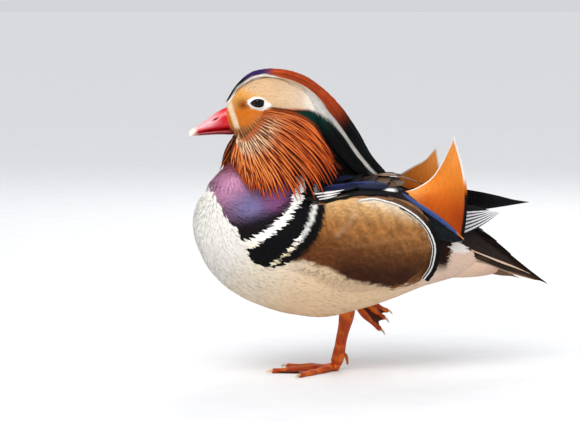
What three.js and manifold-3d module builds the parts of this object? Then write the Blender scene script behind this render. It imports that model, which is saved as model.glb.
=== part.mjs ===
// A drake mandarin duck standing on one leg, life size, in millimetres.
// It faces -X with its left side towards -Y, and the floor is the plane Z = 0.
// The origin is the middle of the sole of the foot that it stands on.
import * as THREE from 'three';
import { mergeVertices } from 'three/addons/utils/BufferGeometryUtils.js';
import Module from 'manifold-3d';

const wasm = await Module();
wasm.setup();
const { clamp, lerp, smoothstep, degToRad: rad } = THREE.MathUtils;
const vec = (x, y, z) => new THREE.Vector3(x, y, z);

// Driving dimensions
const GAP = 0.3; // what neighbouring pieces keep between them
const SLACK = 0.05; // how far a face may move where flat faces are joined
const LEFT = -1; // sign of Y on each side of the bird
const RIGHT = 1;
const EYE_RADIUS = 6;
const EYE_CENTRE = { x: -64.2, y: 14.6, z: 217 };
const LID = { radius: 4.7, thick: 1.1, long: 1.22, high: 0.86, out: 3.5 };
const HEAD_TURN = rad(9); // the head is turned a little to the bird's right
const TURN_CENTRE_X = -38;
const TARSUS = { ankle: [7.2, -9, 50], toes: [-0.6, -1, 5.5] };
const TOES = { middle: [-54, -3], outer: [-38, -31], inner: [-36, 23] };

// Sections of the trunk: x, top, bottom, half width
const TORSO_ROWS = [
  [-117, 120, 120, 0],
  [-113, 138, 102, 19],
  [-104, 149, 84, 33],
  [-90, 152, 69, 41],
  [-70, 152, 57, 46.5],
  [-40, 152, 47, 50],
  [-14, 152, 43.6, 51.5],
  [17, 154, 49, 51],
  [45, 152, 57, 46],
  [70, 142, 65.5, 37],
  [90, 128, 70.5, 28],
  [110, 116, 76, 18],
  [130, 98, 98, 0],
];
// Sections of the head: x, top, bottom, half width
const HEAD_ROWS = [
  [-91.5, 207, 207, 0],
  [-89.5, 214, 198, 9],
  [-84, 223.5, 190.5, 13],
  [-76, 231, 186, 16.5],
  [-66, 236.5, 183, 19.2],
  [-52, 238.5, 181, 20.8],
  [-38, 235, 181, 20.6],
  [-24, 229, 183, 18],
  [-13, 217, 187, 13],
  [-6, 202, 202, 0],
];
// Sections of the neck: z, back, front, half width
const NECK_ROWS = [
  [132, -45, -45, 0],
  [134, 18, -106, 40],
  [150, 13, -105, 36],
  [161, 6, -96.5, 31.5],
  [172, -1, -85, 28],
  [184, -8, -76.5, 24.5],
  [198, -12, -75, 21],
  [212, -44, -44, 0],
];
// Outline of the crest from the bill over the crown to its tip on the back: x, z, half width, depth
const CREST_ROWS = [
  [-89.5, 217.5, 3, 3],
  [-80, 231, 5.5, 4],
  [-66, 241, 8, 5],
  [-46, 242.6, 11, 8],
  [-25, 236.5, 14, 13],
  [-3, 219, 16, 21],
  [14, 197, 15, 26],
  [28, 174, 13, 22],
  [43, 157, 5, 5],
];

// A smooth curve through [place, value] pairs that never overshoots them.
function profile(points) {
  const x = points.map((p) => p[0]);
  const y = points.map((p) => p[1]);
  const last = x.length - 1;
  const slope = x.slice(1).map((_, i) => (y[i + 1] - y[i]) / (x[i + 1] - x[i]));
  const lean = x.map((_, i) => {
    if (i === 0) return slope[0];
    if (i === last) return slope[last - 1];
    const product = slope[i - 1] * slope[i];
    return product <= 0 ? 0 : (2 * product) / (slope[i - 1] + slope[i]);
  });
  return (at) => {
    const place = clamp(at, x[0], x[last]);
    let i = 0;
    while (i < last - 1 && place > x[i + 1]) i += 1;
    const h = x[i + 1] - x[i];
    const t = (place - x[i]) / h;
    const rest = 1 - t;
    return (
      y[i] * (1 + 2 * t) * rest * rest +
      y[i + 1] * t * t * (3 - 2 * t) +
      h * t * rest * (lean[i] * rest - lean[i + 1] * t)
    );
  };
}

// The head and what goes with it turns about an upright axis, fading out towards the back.
function turned(p) {
  const share = smoothstep(p.z, 150, 196) * (1 - smoothstep(p.x, -6, 44));
  const angle = -HEAD_TURN * share;
  const dx = p.x - TURN_CENTRE_X;
  return vec(
    TURN_CENTRE_X + dx * Math.cos(angle) - p.y * Math.sin(angle),
    dx * Math.sin(angle) + p.y * Math.cos(angle),
    p.z,
  );
}

// A geometry as a solid, with its points moved by `place` and its faces turned outwards.
function solid(geometry, place = (p) => p) {
  const bare = geometry.clone();
  bare.deleteAttribute('normal');
  bare.deleteAttribute('uv');
  const position = bare.getAttribute('position');
  for (let i = 0; i < position.count; i += 1) {
    const p = place(vec(position.getX(i), position.getY(i), position.getZ(i)));
    position.setXYZ(i, p.x, p.y, p.z);
  }
  const merged = mergeVertices(bare, 1e-3);
  const index = merged.index.array;
  const build = (flip) => {
    const faces = [];
    for (let i = 0; i < index.length; i += 3) {
      const [a, b, c] = [index[i], index[i + 1], index[i + 2]];
      if (a !== b && b !== c && a !== c) faces.push(...(flip ? [a, c, b] : [a, b, c]));
    }
    return new wasm.Manifold(
      new wasm.Mesh({
        numProp: 3,
        vertProperties: merged.getAttribute('position').array,
        triVerts: new Uint32Array(faces),
      }),
    );
  };
  const made = build(false);
  return made.volume() < 0 ? build(true) : made;
}

// Solids joined into one.
const join = (pieces) => pieces.reduce((all, piece) => all.add(piece));

// The largest closed surface of a solid, without loose crumbs or sealed hollows.
function largest(whole) {
  const { vertProperties, triVerts } = whole.getMesh();
  const owner = [...Array(vertProperties.length / 3).keys()];
  const find = (i) => {
    let at = i;
    while (owner[at] !== at) at = owner[at];
    owner[i] = at;
    return at;
  };
  for (let i = 0; i < triVerts.length; i += 3) {
    owner[find(triVerts[i + 1])] = find(triVerts[i]);
    owner[find(triVerts[i + 2])] = find(triVerts[i]);
  }
  const surfaces = new Map();
  for (let i = 0; i < triVerts.length; i += 3) {
    const key = find(triVerts[i]);
    if (!surfaces.has(key)) surfaces.set(key, []);
    surfaces.get(key).push(triVerts[i], triVerts[i + 1], triVerts[i + 2]);
  }
  const solids = [...surfaces.values()].map(
    (faces) =>
      new wasm.Manifold(
        new wasm.Mesh({ numProp: 3, vertProperties, triVerts: new Uint32Array(faces) }),
      ),
  );
  return solids.reduce((best, piece) => (piece.volume() > best.volume() ? piece : best));
}

// A random number maker that gives the same row of numbers for the same seed.
function seeded(seed) {
  let state = seed;
  return () => {
    state = (state * 1664525 + 1013904223) % 4294967296;
    return state / 4294967296 - 0.5;
  };
}

// Sections of a rounded body, with its ends closed to points.
function softBody(rows, upright, squareness = 2.25) {
  const first = rows[0][0];
  const length = rows[rows.length - 1][0] - first;
  const turnOf = (s) => Math.acos(clamp(1 - (2 * (s - first)) / length, -1, 1));
  const column = (k) => profile(rows.map((row) => [turnOf(row[0]), row[k]]));
  const [high, low, half] = [column(1), column(2), column(3)];
  const bulge = (v) => Math.sign(v) * Math.abs(v) ** (2 / squareness);
  // The point at a place along the body, at an angle from its top or back, `grow` outside it.
  const at = (s, angle, grow = 0, end = 1) => {
    const u = turnOf(s);
    const more = grow * end;
    const cross =
      (high(u) + low(u)) / 2 + ((high(u) - low(u)) / 2 + more) * bulge(Math.cos(angle));
    const side = (half(u) + more) * bulge(Math.sin(angle));
    return upright ? vec(cross, side, s) : vec(s, side, cross);
  };
  const make = (around, along, grow = 0) => (p) => {
    const u = Math.acos(clamp(p.y, -1, 1));
    const s = first + (length * (1 - Math.cos(u))) / 2;
    const q = at(s, Math.atan2(p.z, p.x), grow, Math.sqrt(Math.sin(u)));
    if (upright) q.z -= grow * Math.cos(u);
    else q.x -= grow * Math.cos(u);
    return q;
  };
  const whole = (around, along, grow = 0, place = (p) => p) => {
    const shape = make(around, along, grow);
    return solid(new THREE.SphereGeometry(1, around, along), (p) => place(shape(p)));
  };
  return { at, whole };
}

const torso = softBody(TORSO_ROWS, false);
const head = softBody(HEAD_ROWS, false, 2.1);
const neck = softBody(NECK_ROWS, true, 2);

// A feather or lock: a flat blade along a path, ridged along its middle and thin at its edges.
// Both faces are split alike, so that a bent blade never crosses itself. A grown blade is `grow`
// outside the plain one all over, its thin edges too.
function blade({ path, across, width, thick, steps = 3, place, grow = 0, droop = 0 }) {
  const points = [];
  const rings = [];
  for (let i = 0; i <= steps; i += 1) {
    const t = i / steps;
    const centre = path(t);
    const tangent = path(Math.min(1, t + 0.02)).sub(path(Math.max(0, t - 0.02))).normalize();
    const sideways = across(t).clone();
    sideways.addScaledVector(tangent, -sideways.dot(tangent)).normalize();
    const up = tangent.clone().cross(sideways).normalize();
    if (i === 0) centre.addScaledVector(tangent, -grow);
    if (i === steps) centre.addScaledVector(tangent, grow);
    const rise = thick(t) / 2 + grow;
    const half = (width(t) / 2) * (rise / (rise - grow)) + grow;
    const edge = centre.clone().addScaledVector(up, -2 * droop * half);
    rings.push(points.length);
    points.push(
      edge.clone().addScaledVector(sideways, half),
      centre.clone().addScaledVector(up, rise),
      edge.clone().addScaledVector(sideways, -half),
      centre.clone().addScaledVector(up, -rise),
    );
  }
  const faces = [];
  for (let i = 0; i < steps; i += 1) {
    const [a, b] = [rings[i], rings[i + 1]];
    faces.push(a, b + 1, a + 1, a, b, b + 1);
    faces.push(a + 2, a + 1, b + 1, a + 2, b + 1, b + 2);
    faces.push(a + 2, b + 3, a + 3, a + 2, b + 2, b + 3);
    faces.push(a, a + 3, b + 3, a, b + 3, b);
  }
  const [r, e] = [rings[0], rings[steps]];
  faces.push(r, r + 1, r + 2, r, r + 2, r + 3, e, e + 2, e + 1, e, e + 3, e + 2);
  const geometry = new THREE.BufferGeometry().setFromPoints(points);
  geometry.setIndex(faces);
  return solid(geometry, place);
}

// Widths along a blade: a plume that tapers to a point, and a vane with a rounded end.
const plume = (wide, root = 0.5) => (t) =>
  wide * (t < 0.45 ? lerp(root, 1, t / 0.45) : lerp(1, 0.06, ((t - 0.45) / 0.55) ** 1.4));
const vane = (wide, root = 0.6, end = 0.34) => (t) =>
  wide * (t < 0.6 ? lerp(root, 1, t / 0.6) : lerp(1, end, ((t - 0.6) / 0.4) ** 2.2));
const tapering = (thick, end = 0.5) => (t) => lerp(thick, end, t);

// A tube along a curve, round or flattened, closed at both ends.
function tube(points, radius, { steps = 10, sides = 10, flat = 1, place } = {}) {
  const curve = new THREE.CatmullRomCurve3(points, false, 'centripetal');
  const frames = curve.computeFrenetFrames(steps, false);
  const reference = vec(0, 1, 0);
  const shape = (p) => {
    const t = clamp(0.5 - p.y, 0, 1);
    const centre = curve.getPointAt(t);
    const tangent = frames.tangents[Math.round(t * steps)];
    const sideways = reference.clone().addScaledVector(tangent, -reference.dot(tangent));
    sideways.normalize();
    const up = tangent.clone().cross(sideways);
    const r = radius(t);
    return centre.addScaledVector(sideways, p.x * r * flat).addScaledVector(up, p.z * r);
  };
  const geometry = new THREE.CylinderGeometry(1, 1, 1, sides, steps, false);
  return solid(geometry, (p) => (place ? place(shape(p)) : shape(p)));
}

// An ellipsoid.
function pebble(centre, radii, { around = 14, along = 8, grow = 0, place } = {}) {
  return solid(new THREE.SphereGeometry(1, around, along), (p) => {
    const q = vec(
      centre[0] + p.x * (radii[0] + grow),
      centre[1] + p.y * (radii[1] + grow),
      centre[2] + p.z * (radii[2] + grow),
    );
    return place ? place(q) : q;
  });
}

// A point on one side of the trunk, `off` outside it; the angle in degrees runs from the back down.
function onTrunk(side, x, degrees, off) {
  const p = torso.at(x, rad(degrees), off);
  p.y *= side;
  return p;
}

// A pad that lies on the trunk like a lens, from `low` to `high` outside it, full at its low corners.
function trunkPad(side, { x, halfX, angle, halfAngle, low, high, shift = () => 0, grow = 0 }) {
  return solid(new THREE.SphereGeometry(1, 18, 6), (p) => {
    const corner = (2 * p.x * p.z) / Math.max(p.x ** 2 + p.z ** 2, 1e-9);
    const full = 1 + (p.z > 0 ? 0.18 : 0) * corner ** 2;
    const degrees = angle + (halfAngle + grow) * p.z * full;
    const off = lerp(low - grow, high(degrees) + grow, (p.y + 1) / 2);
    return onTrunk(side, x + shift(degrees) + (halfX + grow) * p.x * full, degrees, off);
  });
}

// A feather that lies on the trunk, from root to tip as [x, degrees, off].
function trunkFeather(side, root, tip, wide, options = {}) {
  const path = (t) =>
    onTrunk(
      side,
      lerp(root[0], tip[0], t),
      lerp(root[1], tip[1], t),
      lerp(root[2], tip[2], t ** (options.lift ?? 1)),
    );
  const across = (t) => {
    const x = lerp(root[0], tip[0], t);
    const degrees = lerp(root[1], tip[1], t);
    return onTrunk(side, x, degrees + 4, 0).sub(onTrunk(side, x, degrees - 4, 0));
  };
  return blade({
    path,
    across,
    width: (options.outline ?? vane)(wide),
    thick: tapering(options.thick ?? 1.6, 0.7),
    steps: options.steps ?? 2,
    grow: options.grow ?? 0,
    droop: 0.06 * side * -1,
  });
}

// Trunk and head

const makeTorso = (grow) => torso.whole(28, 18, grow);
const makeNeck = (grow) => neck.whole(20, 8, grow, turned);

const eyeSpot = (side) => [EYE_CENTRE.x, side * EYE_CENTRE.y, EYE_CENTRE.z];
const makeEye = (side, grow) =>
  pebble(eyeSpot(side), [EYE_RADIUS, EYE_RADIUS, EYE_RADIUS], {
    around: 12, along: 7, grow, place: turned,
  });

// A lid is a thin ring that stands round the eye, drawn out to points in front and behind.
function makeLid(side) {
  const ring = new THREE.TorusGeometry(LID.radius, LID.thick, 4, 11);
  return solid(ring, (p) =>
    turned(
      vec(
        EYE_CENTRE.x + p.x * LID.long,
        side * (EYE_CENTRE.y + LID.out + 0.1 * p.x + p.z),
        EYE_CENTRE.z + p.y * LID.high,
      ),
    ),
  );
}

function makeHead(grow) {
  const bulk = head.whole(22, 14, grow, turned);
  return grow ? bulk : join([bulk, makeLid(LEFT), makeLid(RIGHT)]);
}

// The bill: sections of each mandible from inside the face to the tip, as x, top, bottom, half width
const UPPER_ROWS = [
  [-118.6, 192, 192, 0],
  [-117.2, 194.4, 189.8, 4.2],
  [-113, 197.6, 191.6, 7],
  [-106, 202.4, 193.4, 7.4],
  [-98, 208.2, 194.4, 7.8],
  [-90, 212.6, 195.4, 8.8],
  [-84, 214.5, 196, 9.5],
  [-80, 205, 205, 0],
];
const LOWER_ROWS = [
  [-115.6, 192.4, 192.4, 0],
  [-113.8, 193.4, 190.4, 4.4],
  [-106, 194.4, 190.9, 6.2],
  [-96, 195.4, 191.3, 7],
  [-86, 196, 191.4, 7.4],
  [-80, 194, 194, 0],
];
const upperBill = softBody(UPPER_ROWS, false, 2.3);
const lowerBill = softBody(LOWER_ROWS, false, 2.6);
// The culmen is narrower than the edges of the mouth.
const ridged = (p) => {
  const height = clamp((p.z - 191) / 23, 0, 1);
  return turned(vec(p.x, p.y * (1 - 0.35 * height), p.z));
};
const makeUpperBill = (grow) => upperBill.whole(14, 10, grow, ridged);
const makeLowerBill = (grow) => lowerBill.whole(12, 7, grow, turned);

// A nostril is a slanted slot through the side of the upper bill.
const makeNostril = (side) =>
  pebble([-97.5, side * 6.6, 203.8], [3, 2.2, 1.1], { around: 10, along: 6, place: turned });

// The crest: a mane of long feathers that lie over the nape and end on the back.
const crestAlong = (() => {
  const line = new THREE.SplineCurve(CREST_ROWS.map((r) => new THREE.Vector2(r[0], r[1])));
  const shares = CREST_ROWS.map((_, i) => i / (CREST_ROWS.length - 1));
  const half = profile(CREST_ROWS.map((r, i) => [shares[i], r[2]]));
  const depth = profile(CREST_ROWS.map((r, i) => [shares[i], r[3]]));
  return { line, half, depth };
})();

// A point of the crest: s from bill to tip, turn in degrees from its outer ridge to either side.
function onCrest(s, degrees, off) {
  const at = clamp(s, 0, 1);
  const point = crestAlong.line.getPoint(at);
  const tangent = crestAlong.line.getTangent(at);
  if (s > 1) point.addScaledVector(tangent, (s - 1) * 160);
  const inward = new THREE.Vector2(tangent.y, -tangent.x);
  const depth = crestAlong.depth(at);
  const reach = depth * (1 - Math.cos(rad(degrees))) - off * Math.cos(rad(degrees));
  point.addScaledVector(inward, reach);
  return vec(point.x, (crestAlong.half(at) + off) * Math.sin(rad(degrees)), point.y);
}

function makeCrest(grow) {
  const random = seeded(11);
  const core = solid(new THREE.SphereGeometry(1, 12, 12), (p) => {
    const u = Math.acos(clamp(p.y, -1, 1));
    const s = (0.95 * (1 - Math.cos(u))) / 2;
    const degrees = THREE.MathUtils.radToDeg(Math.atan2(p.z, p.x));
    const centre = onCrest(s, 0, -crestAlong.depth(s));
    const rim = onCrest(s, degrees, grow);
    return turned(centre.lerp(rim, Math.max(0, 1 - p.y ** 2) ** 0.15));
  });
  const feathers = [];
  const rows = [
    { start: 0.16, end: 0.56, turns: [-58, -20, 20, 58], wide: 8 },
    { start: 0.4, end: 0.86, turns: [-76, -38, 0, 38, 76], wide: 10 },
    { start: 0.56, end: 1.03, turns: [-74, -45, -15, 15, 45, 74], wide: 10 },
  ];
  rows.forEach(({ start, end, turns, wide }) => {
    turns.forEach((turn) => {
      const shift = 0.03 * random();
      const last = end + shift - (0.07 * Math.abs(turn)) / 90;
      const path = (t) => {
        const s = lerp(start + shift, last, t);
        return onCrest(s, turn * (1 - 0.18 * t), lerp(-0.8, 1.6, t));
      };
      const across = (t) => {
        const s = lerp(start + shift, Math.min(last, 1), t);
        return onCrest(s, turn + 6, 0).sub(onCrest(s, turn - 6, 0));
      };
      const shape = { path, across, width: plume(wide), thick: tapering(2, 0.7) };
      feathers.push(blade({ ...shape, grow, place: turned }));
    });
  });
  return join([core, ...feathers]);
}

// The ruff: long pointed plumes that fan out from the cheek, down and back over the neck.
// Each guide is a plume's root, bend and tip as x, distance from the middle, z.
const RUFF_GUIDES = [
  [[-80, 19, 192], [-84, 26, 181], [-90.5, 29, 165]],
  [[-79, 20, 189], [-79, 30, 167], [-79, 37, 149]],
  [[-75, 20, 190], [-68, 33, 166], [-65, 41, 140.5]],
  [[-70, 20, 195], [-48, 34, 172], [-40, 42, 141.5]],
  [[-66, 20, 201], [-33, 34, 187], [-21, 41, 146]],
  [[-62, 20, 207], [-26, 31, 200], [-6, 36, 157]],
  [[-60, 20, 211], [-25, 27, 209], [-8, 31, 172]],
];

function ruffPlume(side, share, layer, random, grow) {
  const place = clamp(share, 0, 1) * (RUFF_GUIDES.length - 1);
  const i = Math.min(Math.floor(place), RUFF_GUIDES.length - 2);
  const [root, bend, tip] = RUFF_GUIDES[i].map((from, k) =>
    vec(...from).lerp(vec(...RUFF_GUIDES[i + 1][k]), place - i),
  );
  const curve = new THREE.QuadraticBezierCurve3(root, bend, tip);
  const reach = layer.reach * (1 - 0.05 * Math.abs(random()));
  const outward = vec(0.1, 1, 0.25);
  return blade({
    path: (t) => {
      const p = curve.getPoint(lerp(0.06, reach, t));
      return vec(p.x, side * (p.y + layer.out), p.z);
    },
    across: (t) => {
      const q = curve.getTangent(lerp(0.06, reach, t)).cross(outward);
      return vec(q.x, side * q.y, q.z);
    },
    width: plume(layer.wide, 0.6),
    thick: tapering(2, 0.6),
    place: turned,
    grow,
  });
}

function makeRuff(side, grow) {
  const random = seeded(side === LEFT ? 5 : 6);
  const core = pebble([-52, side * 19, 188], [29, 10, 20], { grow, place: turned });
  const layers = [
    { count: 13, reach: 1, out: -1, wide: 6.6 },
    { count: 8, reach: 0.72, out: 1, wide: 6.4 },
  ];
  const plumes = layers.flatMap((layer) =>
    [...Array(layer.count).keys()].map((i) =>
      ruffPlume(side, (i + 0.3 * random()) / (layer.count - 1), layer, random, grow),
    ),
  );
  return join([core, ...plumes]);
}

// The sails: one huge tertial on each wing, whose inner web stands up from its shaft.
// Shaft and free edge run from the back of the wing to the feather's end, as x, y, z.
const SAILS = {
  [LEFT]: {
    shaft: [[46, 21, 144], [61, 25, 137], [78, 28, 125.5], [98, 30, 107.5]],
    edge: [[47, 20, 145], [61, 17, 147.5], [75, 17, 156], [83, 20, 169], [87, 25, 181],
      [90, 29, 190.5]],
    belly: 5,
  },
  [RIGHT]: {
    shaft: [[46, 21, 144], [61, 25, 138], [78, 28, 127], [98, 30, 109]],
    edge: [[47, 19, 147], [56, 15, 156], [67, 14, 163], [79, 18, 168.5], [86, 23, 174],
      [92, 28, 179]],
    belly: 4,
  },
};

function makeSail(side, grow) {
  const { shaft, edge, belly } = SAILS[side];
  const curveOf = (rows) =>
    new THREE.CatmullRomCurve3(rows.map((r) => vec(r[0], side * r[1], r[2])));
  const [low, high] = [curveOf(shaft), curveOf(edge)];
  const web = (u, v) => {
    const p = low.getPoint(u).lerp(high.getPoint(u), v);
    const bow = Math.sin(Math.PI * v) * u;
    p.x += belly * bow;
    p.y += side * belly * bow;
    return p;
  };
  const [nu, nv] = [7, 7];
  const thick = (v) => lerp(0.9, 0.5, v) / 2 + grow;
  const points = [];
  const layer = (sign) => {
    const start = points.length;
    for (let i = 0; i <= nu; i += 1) {
      for (let j = 0; j <= nv; j += 1) {
        const [u, v] = [lerp(0.04, 1, i / nu), j / nv];
        const du = web(Math.min(1, u + 0.02), v).sub(web(u - 0.02, v));
        const dv = web(u, Math.min(1, v + 0.02)).sub(web(u, Math.max(0, v - 0.02)));
        const normal = du.cross(dv).normalize();
        points.push(web(u, v).addScaledVector(normal, sign * thick(v)));
      }
    }
    return start;
  };
  const [top, under] = [layer(1), layer(-1)];
  const faces = [];
  const spot = (i, j) => i * (nv + 1) + j;
  for (let i = 0; i < nu; i += 1) {
    for (let j = 0; j < nv; j += 1) {
      const [a, b, c, d] = [spot(i, j), spot(i + 1, j), spot(i + 1, j + 1), spot(i, j + 1)];
      faces.push(top + a, top + b, top + c, top + a, top + c, top + d);
      faces.push(under + a, under + c, under + b, under + a, under + d, under + c);
    }
  }
  const rim = [];
  for (let i = 0; i < nu; i += 1) rim.push(spot(i, 0));
  for (let j = 0; j < nv; j += 1) rim.push(spot(nu, j));
  for (let i = nu; i > 0; i -= 1) rim.push(spot(i, nv));
  for (let j = nv; j > 0; j -= 1) rim.push(spot(0, j));
  rim.forEach((a, k) => {
    const b = rim[(k + 1) % rim.length];
    faces.push(top + a, under + a, under + b, top + a, under + b, top + b);
  });
  const geometry = new THREE.BufferGeometry().setFromPoints(points);
  geometry.setIndex(faces);
  const quill = tube(
    [0, 0.3, 0.65, 1].map((u) => low.getPoint(u)),
    (t) => lerp(1.3, 0.7, t) + grow,
    { steps: 6, sides: 5 },
  );
  return join([solid(geometry), quill]);
}

// The folded wing: a core on the side of the back under tiers of scapulars, coverts,
// secondaries and the long primaries that cross the rump.
const PRIMARIES = {
  [LEFT]: { count: 4, tip: [133, 8, 128.5], spread: [117, 133], bow: 3, reach: 7 },
  [RIGHT]: { count: 4, tip: [161.5, -3, 134], spread: [124, 142], bow: 9, reach: 12 },
};

function makePrimaries(side, grow) {
  const { count, tip, spread, bow, reach } = PRIMARIES[side];
  return [...Array(count).keys()].map((i) => {
    const share = i / (count - 1);
    const root = vec(58, side * lerp(31, 27, share), lerp(spread[0], spread[1] - 2, share));
    const end = vec(tip[0] - reach * share, side * tip[1], tip[2] + 1.5 * share);
    const middle = vec(98, side * lerp(21.5, 17, share), lerp(spread[0] - 3, spread[1], share));
    middle.z += bow * 0.5;
    const curve = new THREE.QuadraticBezierCurve3(root, middle, end);
    return blade({
      path: (t) => curve.getPoint(t),
      across: () => vec(0.25, -0.35 * side, 1),
      width: plume(8.5, 0.9),
      thick: tapering(1.5, 0.6),
      steps: 3,
      grow,
    });
  });
}

function makeWing(side, grow) {
  const random = seeded(side === LEFT ? 21 : 22);
  const core = trunkPad(side, {
    x: 30, halfX: 50, angle: 40, halfAngle: 30, low: -2, high: () => 4.6, grow,
  });
  const feathers = [];
  const add = (root, tip, wide, options = {}) =>
    feathers.push(trunkFeather(side, root, tip, wide, { grow, ...options }));
  const shift = (size) => size * random();
  // Brown scapulars along the back
  for (let i = 0; i < 3; i += 1) {
    const x = 6 + 18 * i;
    add([x - 18, 20 + 5 * i, 2], [x + 21 + shift(3), 22 + 6 * i, 9 - 1.4 * i], 14);
    if (i < 2) add([x - 22, 12 + 8 * i, 2.4], [x + 13 + shift(3), 13 + 9 * i, 9.5 - 2 * i], 15);
  }
  // Long dark blue scapulars
  add([-20, 27, 3], [20, 29, 7.4], 12);
  add([-4, 29, 3], [38, 32, 7.4], 11);
  add([8, 33, 2.6], [49, 38, 6.6], 9);
  // Coverts and secondaries that run down and back beside the sail's shaft
  for (let i = 0; i < 3; i += 1) {
    add([10 + 13 * i, 40 + 6 * i, 2.4], [50 + 14 * i, 46 + 10 * i, 6.2], 10 - i);
  }
  for (let i = 0; i < 3; i += 1) {
    add([34, 48 + 11 * i, 1.4], [97 - 4 * i, 66 + 13 * i, 5.8 - 0.6 * i], 15, { thick: 1.6 });
  }
  return join([core, ...feathers, ...makePrimaries(side, grow)]);
}

// The flank: broad feathers that lie over the folded wing and end in a round hind edge.
const flankHeight = profile([[40, 8.6], [56, 9], [84, 4.6], [128, 2.8]]);
const flankEnd = (degrees) => 70 - 50 * ((degrees - 90) / 52) ** 2;

function makeFlank(side, grow) {
  const random = seeded(side === LEFT ? 31 : 32);
  const core = trunkPad(side, {
    x: 17, halfX: 44, angle: 83, halfAngle: 42, low: -2, high: (a) => flankHeight(a) - 0.6,
    shift: (a) => 0.6 * (flankEnd(Math.max(a, 90)) - 70), grow,
  });
  const feathers = [];
  for (let row = 0; row < 2; row += 1) {
    const count = 6 - row;
    for (let i = 0; i < count; i += 1) {
      const degrees = lerp(48, 124, (i + 0.5 * row) / 5) + 2 * random();
      const tipX = flankEnd(degrees) - 22 * row + 3 * random();
      const high = flankHeight(degrees);
      const length = lerp(34, 22, smoothstep(degrees, 96, 124));
      const root = [tipX - length, lerp(degrees, 92, 0.1), high - 3.2];
      feathers.push(
        trunkFeather(side, root, [tipX, degrees, high + 0.4], 19, { grow, steps: 3 }),
      );
    }
  }
  return join([core, ...feathers]);
}

// The tail: a wedge of stiff feathers like a low roof, with coverts over its root.
const TAIL_ROOT = vec(110, 0, 111.5);
const TAIL_SLOPE = rad(34);

function tailFeather(across, length, rise, wide, grow, lift = 0) {
  const heading = vec(
    Math.cos(TAIL_SLOPE) * Math.cos(rad(across)),
    Math.sin(rad(across)),
    -Math.sin(TAIL_SLOPE + rad(lift)) * Math.cos(rad(across)),
  );
  const start = TAIL_ROOT.clone().add(vec(0, across * 0.5, rise - Math.abs(across) * 0.5));
  return blade({
    path: (t) => start.clone().addScaledVector(heading, length * t),
    across: () => vec(0, 1, -0.025 * across),
    width: vane(wide, 0.7, 0.2),
    thick: tapering(1.5, 0.7),
    grow,
  });
}

function makeTail(grow) {
  const core = pebble([116, 0, 100], [26, 16, 9], {
    grow,
    place: (p) => vec(p.x, p.y, p.z - (p.x - 116) * Math.tan(TAIL_SLOPE)),
  });
  const feathers = [];
  for (let i = -5; i <= 5; i += 1) {
    const outer = Math.abs(i) / 5;
    const length = lerp(84, 58, outer ** 1.3);
    feathers.push(tailFeather(3.9 * i, length, 0, 12, grow, -11 * outer));
  }
  for (let i = -1; i <= 1; i += 1) {
    const outer = Math.abs(i);
    feathers.push(tailFeather(7 * i, lerp(50, 42, outer), 5.4 - 1.2 * outer, 14, grow, 3));
  }
  return join([core, ...feathers]);
}

// The white coverts under the tail.
function makeVent(grow) {
  const core = pebble([111, 0, 82], [33, 14, 9], {
    grow,
    place: (p) => vec(p.x, p.y, p.z + (p.x - 111) * 0.02),
  });
  const feathers = [-2, 0, 2].map((i) => {
    const path = (t) => vec(lerp(92, 147 - 5 * Math.abs(i), t), i * lerp(3.4, 4.2, t),
      lerp(79, 81, t) + Math.abs(i) * 0.8);
    const shape = { path, across: () => vec(0, 1, 0.1 * i), width: plume(10, 0.7), steps: 2 };
    return blade({ ...shape, thick: tapering(3, 0.8), grow });
  });
  return join([core, ...feathers]);
}

// Legs and feet

// A toe: a tapering tube that swells at its joints and ends in a curved claw.
function makeToe(points, thickness, joints, grow = 0) {
  const swelling = (t) => 0.16 * Math.cos(2 * Math.PI * joints * t);
  const radius = (t) => lerp(thickness, thickness * 0.62, t) * (1 + swelling(t)) + grow;
  const flesh = tube(points, radius, { steps: 7, sides: 5 });
  const tip = points[points.length - 1];
  const ahead = tip.clone().sub(points[points.length - 2]).normalize();
  const claw = tube(
    [
      tip.clone().addScaledVector(ahead, -1.5),
      tip.clone().addScaledVector(ahead, 2.6).add(vec(0, 0, 0.5)),
      tip.clone().addScaledVector(ahead, 5.4).add(vec(0, 0, -1)),
    ],
    (t) => lerp(thickness * 0.5, 0.25, t),
    { steps: 2, sides: 4 },
  );
  return join([flesh, claw]);
}

// A web between two toes, as a thin sheet that hangs back towards the foot.
function makeWeb(hub, a, b, thick) {
  const [cuts, rows] = [4, 3];
  const points = [];
  [1, -1].forEach((sign) => {
    for (let i = 0; i <= rows; i += 1) {
      for (let j = 0; j <= cuts; j += 1) {
        const [reach, turn] = [lerp(0.06, 1, i / rows), j / cuts];
        const slack = 1 - 0.34 * Math.sin(Math.PI * turn) * reach;
        const rim = a.clone().lerp(b, turn);
        const p = hub.clone().lerp(rim, reach * slack);
        p.z += sign * thick * 0.5;
        points.push(p);
      }
    }
  });
  const spot = (i, j) => i * (cuts + 1) + j;
  const under = (rows + 1) * (cuts + 1);
  const faces = [];
  for (let i = 0; i < rows; i += 1) {
    for (let j = 0; j < cuts; j += 1) {
      const [p, q, r, s] = [spot(i, j), spot(i + 1, j), spot(i + 1, j + 1), spot(i, j + 1)];
      faces.push(p, q, r, p, r, s, under + p, under + r, under + q, under + p, under + s, under + r);
    }
  }
  const rim = [];
  for (let i = 0; i < rows; i += 1) rim.push(spot(i, 0));
  for (let j = 0; j < cuts; j += 1) rim.push(spot(rows, j));
  for (let i = rows; i > 0; i -= 1) rim.push(spot(i, cuts));
  for (let j = cuts; j > 0; j -= 1) rim.push(spot(0, j));
  rim.forEach((p, k) => {
    const q = rim[(k + 1) % rim.length];
    faces.push(p, under + p, under + q, p, under + q, q);
  });
  const geometry = new THREE.BufferGeometry().setFromPoints(points);
  geometry.setIndex(faces);
  return solid(geometry);
}

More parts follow.
